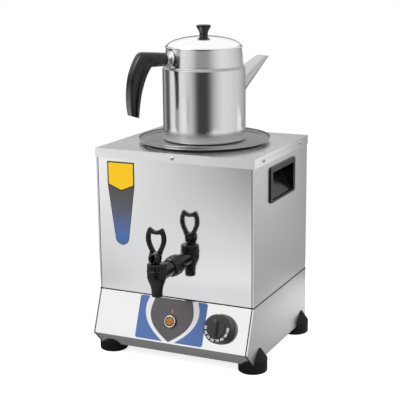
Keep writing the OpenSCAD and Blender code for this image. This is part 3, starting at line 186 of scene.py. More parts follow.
def skin(name, grid, rows_closed=False, columns_closed=True, capped=False, sharp=34):
    """Skin over a grid of points: each point is joined to the next in its row and in its column.

    A closed direction joins its last points to its first; capped puts a face on the first and last row."""
    grid = np.asarray(grid, float)
    rows, columns = grid.shape[:2]
    index = np.arange(rows * columns).reshape(rows, columns)
    near = index if rows_closed else index[:-1]
    far = np.roll(index, -1, 0) if rows_closed else index[1:]
    quads = np.stack([near, np.roll(near, -1, 1), np.roll(far, -1, 1), far], -1)
    if not columns_closed:
        quads = quads[:, :-1]
    faces = quads.reshape(-1, 4).tolist()
    if capped:
        faces += [index[0].tolist(), index[-1][::-1].tolist()]
    mesh = bpy.data.meshes.new(name)
    mesh.from_pydata(placed(grid.reshape(-1, 3)).tolist(), [], faces)
    tidied(mesh, sharp)
    return new_object(name, mesh)


def softened_corners(corners, steps=5):
    """A polyline of (x, y, radius) corners as points: each corner is a quadratic arc that starts and
    ends one radius away along its two sides."""
    corners = np.asarray(corners, float)
    points, radii = corners[:, :2], corners[:, 2]
    before, after = np.roll(points, 1, 0), np.roll(points, -1, 0)
    before[0], after[-1] = points[0], points[-1]
    t = np.linspace(0, 1, steps)[None, :, None]
    back, ahead = before - points, after - points
    length_b = np.linalg.norm(back, axis=1, keepdims=True) + 1e-9
    length_a = np.linalg.norm(ahead, axis=1, keepdims=True) + 1e-9
    start = points + back / length_b * np.minimum(radii[:, None], length_b * 0.48)
    end = points + ahead / length_a * np.minimum(radii[:, None], length_a * 0.48)
    arcs = (1 - t) ** 2 * start[:, None] + 2 * t * (1 - t) * points[:, None] + t**2 * end[:, None]
    keep = [arcs[i] if radii[i] > 0 else points[i][None] for i in range(len(points))]
    return np.concatenate(keep)


def turned(profile, centre, turn=None, segments=128, lobes=None):
    """Grid of a turned form: the (radius, height) profile carried once round the axis.

    turn is the 3 by 3 matrix whose columns are the local x, y and axis directions; lobes(angle,
    height) is taken off the radius."""
    profile = np.asarray(profile, float)
    angle = np.linspace(0, 2 * np.pi, segments, endpoint=False)
    radius = np.repeat(profile[:, :1], segments, 1)
    height = np.repeat(profile[:, 1:], segments, 1)
    if lobes is not None:
        radius = radius - lobes(angle[None, :], height) * (radius > 0.01)
    local = np.stack([radius * np.cos(angle), radius * np.sin(angle), height], -1)
    turn = np.eye(3) if turn is None else np.asarray(turn, float)
    return local @ turn.T + np.asarray(centre, float)


def spline(points, count):
    """Smooth curve (Catmull-Rom) through rows of numbers, as count rows evenly spread over the knots."""
    points = np.asarray(points, float)
    last = len(points) - 1
    t = np.linspace(0, last, count)
    i = np.minimum(t.astype(int), last - 1)
    u = (t - i)[:, None]
    a, b = points[np.maximum(i - 1, 0)], points[i]
    c, d = points[i + 1], points[np.minimum(i + 2, last)]
    square, cube = 2 * a - 5 * b + 4 * c - d, 3 * b - a - 3 * c + d
    return 0.5 * (2 * b + (c - a) * u + square * u**2 + cube * u**3)


def resampled(points, count):
    """The same polyline with its points an even distance apart."""
    points = np.asarray(points, float)
    run = np.concatenate([[0], np.cumsum(np.linalg.norm(np.diff(points, axis=0), axis=1))])
    want = np.linspace(0, run[-1], count)
    return np.stack([np.interp(want, run, points[:, k]) for k in range(points.shape[1])], -1)


def film(name, outline, origin, right, up, out, low, high):
    """A flat shape of (right, up) points between two heights along out."""
    outline = np.asarray(outline, float)
    right, up, out = (np.asarray(v, float) for v in (right, up, out))
    flat = np.asarray(origin) + outline[:, :1] * right + outline[:, 1:] * up
    return skin(name, np.stack([flat + low * out, flat + high * out]), capped=True, sharp=30)


def dressed_copy(node, width, segments):
    """A merged copy of a CAD solid with its edges rolled over by a fine bevel."""
    sharp = math.radians(32)
    mesh = NODES[node].data.copy()
    mesh.name = node + "_skin"
    mesh.materials.clear()
    bm = bmesh.new()
    bm.from_mesh(mesh)
    bmesh.ops.remove_doubles(bm, verts=bm.verts, dist=1e-6)
    bmesh.ops.dissolve_limit(bm, angle_limit=math.radians(0.4), verts=bm.verts, edges=bm.edges)
    bm.to_mesh(mesh)
    bm.free()
    mesh.polygons.foreach_set("use_smooth", np.ones(len(mesh.polygons), bool))
    mesh.set_sharp_from_angle(angle=sharp)
    obj = new_object(mesh.name, mesh)
    bevel = obj.modifiers.new("Rolled edges", "BEVEL")
    bevel.width = width * MM
    bevel.segments = segments
    bevel.limit_method = "ANGLE"
    bevel.angle_limit = sharp
    bevel.harden_normals = True
    return obj


def fitted(obj, material, body, slot, *nodes):
    """Gives a finished piece its material, its body and the CAD nodes it stands for. The slot is not used.
    """
    obj.data.materials.clear()
    obj.data.materials.append(material)
    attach(obj, body)
    if nodes:
        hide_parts(*nodes)


def printed(slot, plane, layers):
    """Thin films laid one over the other: each layer's name, outline, two heights and material, and the
    CAD node that the first one stands for."""
    for name, outline, low, high, look, *nodes in layers:
        fitted(film(name, outline, low=low, high=high, **plane), look, "cabinet", slot, *nodes)


def finish_nodes(material, *nodes):
    """Gives CAD nodes that are shown as they are their material."""
    for node in nodes:
        mesh = NODES[node].data
        mesh.materials.clear()
        mesh.materials.append(material)


# ---- Materials -------------------------------------------------------------------------------
class Graph:
    """Short hand for wiring nodes."""

    def __init__(self, tree):
        self.tree = tree

    def link(self, value, socket):
        """Wires another socket on, or sets a plain value."""
        if isinstance(value, bpy.types.NodeSocket):
            self.tree.links.new(value, socket)
        else:
            socket.default_value = value

    def node(self, kind, values=None, **settings):
        node = self.tree.nodes.new(kind)
        for key, value in settings.items():
            setattr(node, key, value)
        for key, value in (values or {}).items():
            self.link(value, node.inputs[key])
        return node

    def math(self, operation, a, b=0.0, c=0.0, clamp=False):
        values = {0: a, 1: b, 2: c}
        return self.node("ShaderNodeMath", values, operation=operation, use_clamp=clamp).outputs[0]

    def plus(self, a, b):
        return self.math("ADD", a, b)

    def minus(self, a, b):
        return self.math("SUBTRACT", a, b)

    def times(self, a, b, clamp=False):
        return self.math("MULTIPLY", a, b, clamp=clamp)

    def parts(self, vector):
        return self.node("ShaderNodeSeparateXYZ", {0: vector}).outputs

    def noise(self, place, scale, detail=2.0, **more):
        values = {"Vector": place, "Scale": scale, "Detail": detail, **more}
        return self.node("ShaderNodeTexNoise", values).outputs["Fac"]

    def span(self, value, start, stop, kind="LINEAR"):
        """0 to 1 while the value runs from start to stop."""
        values = {0: value, 1: start, 2: stop}
        return self.node("ShaderNodeMapRange", values, interpolation_type=kind).outputs[0]

    def ease(self, value, start, stop):
        """The same with a soft start and end."""
        return self.span(value, start, stop, "SMOOTHSTEP")

    def mix(self, factor, a, b):
        return self.node("ShaderNodeMix", {"Factor": factor, 6: a, 7: b}, data_type="RGBA").outputs[2]

    def ramp(self, factor, stops):
        node = self.node("ShaderNodeValToRGB", {"Fac": factor})
        elements = node.color_ramp.elements
        while len(elements) < len(stops):
            elements.new(0.5)
        for element, (position, shade) in zip(elements, stops):
            element.position = position
            element.color = shade if len(shade) == 4 else (*shade, 1)
        return node.outputs[0]


def rgba(colour):
    return (*tuple(colour)[:3], 1.0)


def group(name, inputs, outputs):
    """A new shader node group with named sockets; returns it with its graph and its two ends."""
    tree = bpy.data.node_groups.new(name, "ShaderNodeTree")
    for label, kind, value in inputs:
        socket = tree.interface.new_socket(label, in_out="INPUT", socket_type=kind)
        if value is not None:
            socket.default_value = value
    for label, kind in outputs:
        tree.interface.new_socket(label, in_out="OUTPUT", socket_type=kind)
    graph = Graph(tree)
    return tree, graph, graph.node("NodeGroupInput").outputs, graph.node("NodeGroupOutput").inputs


def grain_group():
    """Rolling grain, polishing haze and wiped smears of sheet steel."""
    if "Steel grain" in bpy.data.node_groups:
        return bpy.data.node_groups["Steel grain"]
    tree, g, ins, outs = group(
        "Steel grain",
        [("Vector", "NodeSocketVector", None), ("Lines", "NodeSocketVector", (900, 8, 900)),
         ("Colour", "NodeSocketColor", (0.8, 0.8, 0.8, 1)), ("Roughness", "NodeSocketFloat", 0.1),
         ("Grain", "NodeSocketFloat", 0.3), ("Haze", "NodeSocketFloat", 0.3)],
        [("Colour", "NodeSocketColor"), ("Roughness", "NodeSocketFloat"), ("Height", "NodeSocketFloat")])
    place = ins["Vector"]
    stretched = g.node("ShaderNodeMapping", {"Vector": place, "Scale": ins["Lines"]}).outputs[0]
    lines = g.noise(stretched, 1.0, 3.0, Roughness=0.65)
    haze = g.noise(place, 9.0, 4.0, Roughness=0.55)
    smear = g.noise(place, 31.0, 5.0, Roughness=0.6, Distortion=0.2)
    line_part = g.times(g.minus(lines, 0.5), ins["Grain"])
    haze_part = g.times(g.minus(haze, 0.5), ins["Haze"])
    smear_part = g.times(g.minus(smear, 0.5), g.times(ins["Haze"], 0.4))
    shade = g.plus(1.0, g.times(g.plus(line_part, haze_part), 0.22))
    tone = g.node("ShaderNodeVectorMath", {0: ins["Colour"], "Scale": shade}, operation="SCALE").outputs[0]
    g.link(tone, outs["Colour"])
    spread = g.plus(g.times(line_part, 0.35), g.plus(haze_part, smear_part))
    rough = g.times(ins["Roughness"], g.plus(1.0, spread), clamp=True)
    g.link(rough, outs["Roughness"])
    g.link(g.times(lines, ins["Grain"]), outs["Height"])
    return tree


def moulding_group():
    """Fine skin, flow marks and dust of moulded plastic and rubber."""
    if "Moulded skin" in bpy.data.node_groups:
        return bpy.data.node_groups["Moulded skin"]
    tree, g, ins, outs = group(
        "Moulded skin",
        [("Vector", "NodeSocketVector", None), ("Colour", "NodeSocketColor", (0.02, 0.02, 0.02, 1)),
         ("Roughness", "NodeSocketFloat", 0.3), ("Texture", "NodeSocketFloat", 0.3),
         ("Dust", "NodeSocketFloat", 0.1)],
        [("Colour", "NodeSocketColor"), ("Roughness", "NodeSocketFloat"), ("Height", "NodeSocketFloat")])
    fine = g.noise(ins["Vector"], 1600.0)
    flow = g.noise(ins["Vector"], 45.0, 4.0, Distortion=0.8)
    upward = g.parts(g.node("ShaderNodeNewGeometry").outputs["Normal"])[2]
    settled = g.times(g.times(g.math("MAXIMUM", upward, 0.0), flow), ins["Dust"])
    pale = g.mix(settled, ins["Colour"], (0.42, 0.40, 0.38, 1))
    g.link(pale, outs["Colour"])
    spread = g.times(g.minus(flow, 0.5), 0.5)
    rough = g.times(ins["Roughness"], g.plus(g.plus(1.0, spread), settled), clamp=True)
    g.link(rough, outs["Roughness"])
    g.link(g.times(fine, ins["Texture"]), outs["Height"])
    return tree


def material(name, family, values, bump, **shader):
    """A Principled material fed by one of the groups. shader holds the plain socket values."""
    if name in bpy.data.materials:
        return bpy.data.materials[name]
    made = bpy.data.materials.new(name)
    made.use_nodes = True
    g = Graph(made.node_tree)
    bsdf = made.node_tree.nodes["Principled BSDF"]
    place = g.node("ShaderNodeTexCoord").outputs["Object"]
    look = g.node("ShaderNodeGroup", node_tree=family)
    g.link(place, look.inputs["Vector"])
    for key, value in values.items():
        look.inputs[key].default_value = value
    g.link(look.outputs["Colour"], bsdf.inputs["Base Color"])
    g.link(look.outputs["Roughness"], bsdf.inputs["Roughness"])
    if bump:
        values = {"Strength": 1.0, "Distance": bump * MM, "Height": look.outputs["Height"]}
        relief = g.node("ShaderNodeBump", values)
        g.link(relief.outputs[0], bsdf.inputs["Normal"])
    for key, value in shader.items():
        bsdf.inputs[key.replace("_", " ")].default_value = value
    return made


def opened(made):
    """A made material's graph, its group node and the coordinates that feed it."""
    g = Graph(made.node_tree)
    look = next(n for n in made.node_tree.nodes if n.bl_idname == "ShaderNodeGroup")
    return g, look, look.inputs["Vector"].links[0].from_socket


def bare_material(name):
    """A new material with nothing in it: itself, its graph and the output's surface socket."""
    made = bpy.data.materials.new(name)
    made.use_nodes = True
    made.node_tree.nodes.remove(made.node_tree.nodes["Principled BSDF"])
    return made, Graph(made.node_tree), made.node_tree.nodes["Material Output"].inputs["Surface"]


def steel(name, colour, roughness, lines, grain, haze, bump=0.004):
    return material(name, grain_group(), {
        "Lines": lines, "Colour": rgba(colour), "Roughness": roughness, "Grain": grain, "Haze": haze,
    }, bump, Metallic=1.0)


def polished_steel():
    chosen = setting("steel")
    return steel("Polished steel", chosen.polished, chosen.polish, (30, 30, 900), 0.25, 0.7, 0.0)


def spun_steel():
    chosen = setting("steel")
    return steel("Spun steel", chosen.polished, chosen.polish * 1.9, (12, 12, 1500), 0.5, 0.4, 0.006)


def cover_steel():
    return steel("Cover steel", (0.93, 0.93, 0.94), 0.21, (30, 900, 30), 0.3, 0.5, 0.0)


def spout_steel():
    chosen = setting("steel")
    grey = [0.72 * part for part in chosen.polished]
    return steel("Spout steel", grey, 0.26, (12, 12, 1500), 0.5, 0.5, 0.004)


def socket_steel():
    return steel("Socket steel", (0.60, 0.60, 0.61), 0.42, (200, 200, 200), 0.4, 0.4, 0.002)


def satin_steel():
    chosen = setting("steel")
    return steel("Satin steel", chosen.satin, chosen.satin_roughness, (12, 12, 1300), 0.6, 0.35, 0.0015)


def zinc():
    return steel("Zinc plate", (0.60, 0.61, 0.62), 0.34, (300, 300, 300), 0.5, 0.6, 0.003)


def plastic(name, colour, roughness, texture, dust, coat=0.0, bump=0.02, shine=0.4):
    return material(name, moulding_group(), {
        "Colour": rgba(colour), "Roughness": roughness, "Texture": texture, "Dust": dust,
    }, bump, Coat_Weight=coat, Coat_Roughness=0.08, Specular_IOR_Level=shine)


def black_gloss():
    return plastic("Black gloss", setting("plastics").black, 0.20, 0.15, 0.01, bump=0.004, shine=0.32)


def black_satin():
    return plastic("Black satin", setting("plastics").black, 0.42, 0.6, 0.02, bump=0.02, shine=0.2)


def knob_gloss():
    """Black moulding, a little paler on the face than round the skirt."""
    black = setting("plastics").black
    made = plastic("Knob gloss", black, 0.24, 0.3, 0.01, bump=0.006, shine=0.32)
    g, look, place = opened(made)
    dot = g.node("ShaderNodeVectorMath", {0: place, 1: tuple(PANEL_OUT)}, operation="DOT_PRODUCT")
    face = float(placed(KNOB_AT) @ PANEL_OUT) + KNOB_FACE * MM
    part = g.span(dot.outputs["Value"], face - 1.5 * MM, face - 0.3 * MM)
    g.link(g.mix(part, rgba(black), (0.034, 0.031, 0.031, 1)), look.inputs["Colour"])
    return made


def grip_gloss_painted_highlight():
    """Black moulding with a painted highlight: its edges are paler than its hollowed sides, by the place
    across the section that the piece's own map holds. The painted highlight fades to black towards the
    top."""
    made = plastic("Grip gloss, painted highlight", setting("plastics").black, 0.22, 0.15, 0.01, bump=0.004, shine=0.45)
    g, look, place = opened(made)
    across = g.parts(g.node("ShaderNodeUVMap", uv_map="Section").outputs[0])[0]
    # painted highlight: pale at the outer edge of the section, black in the middle, grey at the inner edge
    stops = ((0.0, 0.15), (0.10, 0.17), (0.17, 0.002), (0.68, 0.002), (0.80, 0.05), (1.0, 0.07))
    edge = g.ramp(across, [(at, (shade,) * 3) for at, shade in stops])
    # the painted highlight fades to near black towards the top
    low = g.span(g.parts(place)[2], (POT_Z + 112) * MM, (POT_Z + 62) * MM)
    g.link(g.mix(low, (0.006, 0.006, 0.006, 1), edge), look.inputs["Colour"])
    return made


def foot_rubber():
    return plastic("Foot rubber", setting("plastics").foot, 0.5, 1.0, 0.02, bump=0.03, shine=0.14)


def print_film(name, colour, roughness=0.32, coat=0.3):
    return plastic(name, colour, roughness, 0.3, 0.0, coat=coat, bump=0.006)


# ---- Operators -------------------------------------------------------------------------------
class BOILER_OT_sheets(bpy.types.Operator):
    """Cover, front panel, casing, control panel and base, with rolled edges"""

    bl_idname = "boiler.sheets"
    bl_label = "Cabinet sheets"

    def execute(self, context):
        for node, width, segments, look, slot in (
                ("top_cover", 0.7, 3, cover_steel(), "sheet_steel"),
                ("front_panel", 0.3, 2, polished_steel(), "polished_steel"),
                ("base_front", 0.3, 3, polished_steel(), "polished_steel"),
                ("casing_wrap", 0.4, 3, satin_steel(), "sheet_steel"),
                ("base_wrap", 0.4, 3, satin_steel(), "sheet_steel")):
            fitted(dressed_copy(node, width, segments), look, "cabinet", slot, node)
        return {"FINISHED"}


def bead(name, path, outs, sides, width, proud, closed=False):
    """Half-round dark bead, painted shade for the shadow in a joint: each point of the path moves out by
    the cosine and sideways by the sine of the angle round the section."""
    t = np.linspace(-np.pi / 2, np.pi / 2, 9)[None, :, None]
    path, outs, sides = (np.asarray(values, float)[:, None] for values in (path, outs, sides))
    grid = path + outs * proud * np.cos(t) + sides * width / 2 * np.sin(t)
    piece = skin(name, grid, rows_closed=closed, capped=not closed, sharp=60)
    fitted(piece, black_satin(), "cabinet", "black_plastic")


class BOILER_OT_joints(bpy.types.Operator):
    """Dark beads, painted shade for the shadow in the joints between the cabinet, its base and their front
    panels
    """

    bl_idname = "boiler.joints"
    bl_label = "Joints"

    def execute(self, context):
        sheet = box("base_front")
        seam = box("deck_plate").middle.z
        back = box("casing_wrap").high.y
        under_lip = COVER_TOP - 17
        corners = np.array([(-1, 0), (1, 0), (1, 1), (-1, 1)])
        path = [(sx * CASING_X, back if sy else CASING_Y, seam) for sx, sy in corners]
        outs = [(sx, 1 if sy else -1, 0) for sx, sy in corners]
        bead("joint_deck", path, outs, [(0, 0, 1)] * 4, width=2.8, proud=0.35, closed=True)
        top, low, nose_y = sheet.high.z, sheet.low.z, sheet.low.y
        top_y = -box("base_wrap").high.y
        run = (top_y - nose_y) / PANEL_UP[1]
        line = np.array([(top_y, top), (nose_y, top - run * PANEL_UP[2]), (top_y, low)])
        first = PANEL_OUT[1:]
        step = line[2] - line[1]
        last = np.array([-step[1], step[0]]) / np.hypot(*step)
        last = last if last[1] < 0 else -last
        miter = (first + last) / (1 + first @ last)
        for side in (-1, 1):
            x = side * (sheet.high.x + 0.4)
            path = [(x, *point) for point in line]
            outs = [(0, *v) for v in (first, miter, last)]
            bead(f"joint_base_{side}", path, outs, [(1, 0, 0)] * 3, width=2.0, proud=0.3)
            x = side * (box("front_panel").high.x + 0.4)
            path = [(x, CASING_Y, seam + 1), (x, CASING_Y, under_lip)]
            bead(f"joint_panel_{side}", path, [(0, -1, 0)] * 2, [(1, 0, 0)] * 2, width=1.3, proud=0.2)
        return {"FINISHED"}


class BOILER_OT_feet(bpy.types.Operator):
    """The four slotted feet"""

    bl_idname = "boiler.feet"
    bl_label = "Feet"

    def execute(self, context):
        for node in ("foot_front_left", "foot_front_right", "foot_rear_left", "foot_rear_right"):
            fitted(dressed_copy(node, 0.6, 3), foot_rubber(), "cabinet", "black_plastic", node)
        return {"FINISHED"}


class BOILER_OT_cups(bpy.types.Operator):
    """The two flush handle cups in the sides"""

    bl_idname = "boiler.cups"
    bl_label = "Handle cups"

    def execute(self, context):
        for node in ("handle_cup_left", "handle_cup_right"):
            fitted(dressed_copy(node, 1.0, 4), black_gloss(), "cabinet", "black_gloss", node)
        return {"FINISHED"}


def badge_outline(inset, x0, z1, width, length, waist, end):
    """Outline of the badge drawn inset by a margin: a straight head, tapering sides and a round end."""
    half, low = width / 2, z1 - length + end
    t = np.radians(np.linspace(-7, -173, 25))
    tail = np.stack([x0 + (end - inset) * np.cos(t), low + (end - inset) * np.sin(t)], -1)
    head = [(x0 - half + inset, waist), (x0 - half + inset, z1 - inset), (x0 + half - inset, z1 - inset),
            (x0 + half - inset, waist)]
    return np.concatenate([head, tail])


class BOILER_OT_badge(bpy.types.Operator):
    """The long badge: a dark border, a yellow head with a point, and a field from grey into blue"""

    bl_idname = "boiler.badge"
    bl_label = "Badge"

    def execute(self, context):
        badge = box("badge")
        x0, z1, width, length = badge.middle.x, badge.high.z, badge.size.x, badge.size.z
        waist, end = z1 - 42, 14
        size = (x0, z1, width, length, waist, end)

        def arrow(inset, under_top, foot, point):
            """Outline of the head: a rectangle that ends in a point."""
            left, right, top = x0 - width / 2 + inset, x0 + width / 2 - inset, z1 - under_top
            return np.array([(left, foot), (left, top), (right, top), (right, foot), (x0, point)])

        head = arrow(2.9, 2.9, waist + 1.5, waist - 8.5)
        rim = arrow(0.5, 0.6, waist, waist - 11.2)
        plane = dict(origin=(0, CASING_Y, 0), right=(1, 0, 0), up=(0, 0, 1), out=(0, -1, 0))
        chosen = setting("plastics")
        white = print_film("Badge white", (0.75, 0.75, 0.75))
        dark = print_film("Badge border", (0.018, 0.016, 0.016))
        fade = self.fading(chosen, z1 - 55, z1 - length + 6)
        yellow = print_film("Badge yellow", chosen.yellow, 0.5, 0.0)
        printed("badge_print", plane, (
            ("badge_backing", badge_outline(0, *size), 0.0, 0.18, white, "badge"),
            ("badge_border", badge_outline(0.5, *size), 0.18, 0.24, dark),
            ("badge_field", badge_outline(1.5, *size), 0.24, 0.30, fade),
            ("badge_head_rim", rim, 0.30, 0.34, dark),
            ("badge_head", head, 0.34, 0.40, yellow)))
        return {"FINISHED"}

    @staticmethod
    def fading(chosen, top, bottom):
        """Print that fades from grey at the top height to blue at the bottom height."""
        made = print_film("Badge field", chosen.grey)
        g, look, place = opened(made)
        part = g.span(g.parts(place)[2], top * MM, bottom * MM)
        shade = g.ramp(part, [(0.0, tuple(chosen.grey)), (0.35, (0.085, 0.095, 0.125)),
                              (0.8, tuple(chosen.blue)), (1.0, (0.04, 0.13, 0.38))])
        g.link(shade, look.inputs["Colour"])
        return made


# How far the label's middle lies above the lamp. Its top runs up to the joint, by twice TO_JOINT more.
LABEL_RISE = 1.12
TO_JOINT = 0.95


class BOILER_OT_label(bpy.types.Operator):
    """The control label: blue ground, white bands and a grey shield"""

    bl_idname = "boiler.label"
    bl_label = "Control label"

    def execute(self, context):
        size = box("control_label").size
        half_x = size.x / 2
        half_s = size.z / (2 * PANEL_UP[2]) - 0.1 + TO_JOINT
        centre = LAMP_AT + PANEL_UP * (LABEL_RISE + TO_JOINT)
        plane = dict(origin=centre, right=(1, 0, 0), up=PANEL_UP, out=PANEL_OUT)
        chosen = setting("plastics")
        corner = 5.0
        ground = softened_corners([
            (-1, -half_s, 0), (-half_x, -half_s, corner), (-half_x, half_s, corner),
            (half_x, half_s, corner), (half_x, -half_s, corner), (1, -half_s, 0)], 8)
        bands = self.shield(half_s, (46.5, 51, 50.5, 44, 31, 11.5), -half_s)
        grey = self.shield(half_s, (35.5, 40, 41, 35.5, 22, 0.3), -half_s)
        dash = np.array([(-0.9, 14), (0.9, 14), (0.9, 20.5), (-0.9, 20.5)]) - (0, 1.1)
        white = print_film("Label white", (0.72, 0.72, 0.73))
        orange = print_film("Label orange", (0.62, 0.22, 0.10))
        printed("label_print", plane, (
            ("label_ground", ground, 0.0, 0.22, print_film("Label blue", chosen.blue), "control_label"),
            ("label_bands", bands, 0.22, 0.29, white),
            ("label_shield", grey, 0.29, 0.36, print_film("Label grey", chosen.grey)),
            ("label_dash", dash, 0.36, 0.40, orange)))
        return {"FINISHED"}

    @staticmethod
    def shield(top, halves, bottom):
        """Both sides of a shield: half widths at even steps from its top edge down to its tip."""
        height = np.linspace(top, bottom, len(halves))
        side = spline(np.stack([np.asarray(halves, float), height], -1), 48)
        return np.concatenate([side, side[::-1] * (-1, 1)])


def screw_head(radius, height):
    """Grid of a domed screw head with a cross recess: the dome falls with the square of the radius,
    and the recess is where the point lies near either axis and inside 62% of the radius."""
    r = np.linspace(0, 1, 22)[:, None] * radius
    a = np.linspace(0, 2 * np.pi, 64, endpoint=False)[None, :]
    x, y = r * np.cos(a), r * np.sin(a)
    z = height * (1 - 0.45 * (r / radius) ** 2) * np.ones_like(a)
    cross = (np.minimum(abs(x), abs(y)) < 0.12 * radius) & (r < 0.62 * radius)
    z = np.where(cross, z - 0.55 * height, z)
    top = np.stack([x, y, z], -1)
    rim = top[-1:] * (1, 1, 0)
    return np.concatenate([top, rim])


class BOILER_OT_screws(bpy.types.Operator):
    """Domed cross-head screws in the cover's lip"""

    bl_idname = "boiler.screws"
    bl_label = "Cover screws"

    def execute(self, context):
        cover = box("top_cover")
        half_x, half_y, z = cover.high.x, cover.size.y / 2, cover.middle.z - 0.5
        spots = [((0, -half_y, z), (1, 0, 0), (0, 0, 1), (0, -1, 0)),
                 ((0, half_y, z), (-1, 0, 0), (0, 0, 1), (0, 1, 0))]
        spots += [((sx * half_x, sy * (half_y - 42), z), (0, sx, 0), (0, 0, 1), (sx, 0, 0))
                  for sx in (-1, 1) for sy in (-1, 1)]
        head = screw_head(3.4, 2.1)
        for k, (at, *turn) in enumerate(spots):
            grid = head @ np.array(turn, float) + np.array(at)
            nodes = ("cover_screws",) if k == 0 else ()
            fitted(skin(f"cover_screw_{k + 1}", grid, sharp=40), zinc(), "cabinet", "zinc_plated", *nodes)
        return {"FINISHED"}


# ---- Tap -------------------------------------------------------------------------------------
class BOILER_OT_tap(bpy.types.Operator):
    """The tap's barrel, bonnet, shank and collar nut"""

    bl_idname = "boiler.tap"
    bl_label = "Tap"

    def execute(self, context):
        gloss = black_gloss()
        # the shank's axis lies 7 under the bonnet's foot
        shank_z, low_z = BONNET[0] - 7, box("tap_body").low.z
        axis = (0, TAP_Y, 0)
        barrel = softened_corners([
            (6, shank_z - 14, 0), (6, low_z + 0.6, 0.5), (6.6, low_z, 0.5), (8.6, low_z, 0.8),
            (9.4, low_z + 1.2, 1), (9.7, low_z + 15, 7), (15, shank_z - 8, 5), (16.5, shank_z - 3, 2),
            (16.5, BONNET[0] - 0.6, 0.4), (16, BONNET[0], 0.2), (12, BONNET[0], 0)])
        fitted(skin("tap_barrel", turned(barrel, axis)), gloss, "cabinet", "black_gloss", "tap_body")
        back = np.array([[1, 0, 0], [0, 0, 1], [0, 1, 0]], float)
        reach = CASING_Y - TAP_Y
        neck = softened_corners([
            (9, 3, 0), (12.2, 10, 3), (12.2, 15.5, 2), (12.8, 20, 3), (12.8, reach - 19.6, 0)])
        grid = turned(neck, (0, TAP_Y, shank_z), back)
        # beside the bonnet the neck stays under the bonnet's foot
        near = np.hypot(grid[..., 0], grid[..., 1] - TAP_Y) < 18.0
        grid[..., 2] = np.where(near, np.minimum(grid[..., 2], BONNET[0] - 0.2), grid[..., 2])
        fitted(skin("tap_neck", grid), gloss, "cabinet", "black_gloss")
        self.collar(gloss, shank_z, back, reach)
        self.bonnet(gloss)
        return {"FINISHED"}

    @staticmethod
    def collar(gloss, shank_z, back, reach):
        """Round nut on the shank, with eight shallow grips round its thick part."""
        profile = softened_corners([
            (11, reach - 19.2, 0), (14.2, reach - 19.2, 1), (16.8, reach - 14.5, 2),
            (16.8, reach - 6, 1), (17.9, reach - 5.2, 0.6), (17.9, reach - 1.9, 0.6),
            (17.2, reach - 1.5, 0.3), (11, reach - 1.5, 0)])

        def grips(angle, height):
            band = np.clip((height - (reach - 18)) / 2.5, 0, 1)
            band = band * np.clip((reach - 6.2 - height) / 1.2, 0, 1)
            return 1.3 * band * np.clip(np.cos(8 * angle) * 1.6 - 0.4, 0, 1)

        grid = turned(profile, (0, TAP_Y, shank_z), back, 160, grips)
        fitted(skin("tap_collar_nut", grid, sharp=40), gloss, "cabinet", "black_gloss", "tap_collar")

    @staticmethod
    def bonnet(gloss):
        """Screwed cap with a ring at its foot and twelve hollows round its side."""
        low, high = BONNET
        profile = softened_corners([
            (13.6, low + 0.05, 0), (16.6, low + 0.05, 0.4), (17.1, low + 0.6, 0.4), (17.1, low + 3.4, 0.5),
            (16.4, low + 4.3, 0.3), (16.3, high - 2.8, 1), (13.8, high - 0.4, 1.2), (8, high, 0.5),
            (4.6, high, 0.2), (4.5, high - 3.5, 0)])

        def hollows(angle, height):
            band = np.clip((height - low - 4.2) / 1.0, 0, 1) * np.clip((high - 0.6 - height) / 1.5, 0, 1)
            return 1.5 * band * np.clip(np.cos(12 * angle) * 1.5 - 0.5, 0, 1)

        grid = turned(profile, (0, TAP_Y, 0), segments=192, lobes=hollows)
        fitted(skin("tap_cap", grid, sharp=40), gloss, "cabinet", "black_gloss", "tap_bonnet")


# The lever's shoulder, (y, z) from the pin
SHOULDERS = ((3.2, 8.4), (1, 9.6), (-7, 9.6), (-11, 8.2))


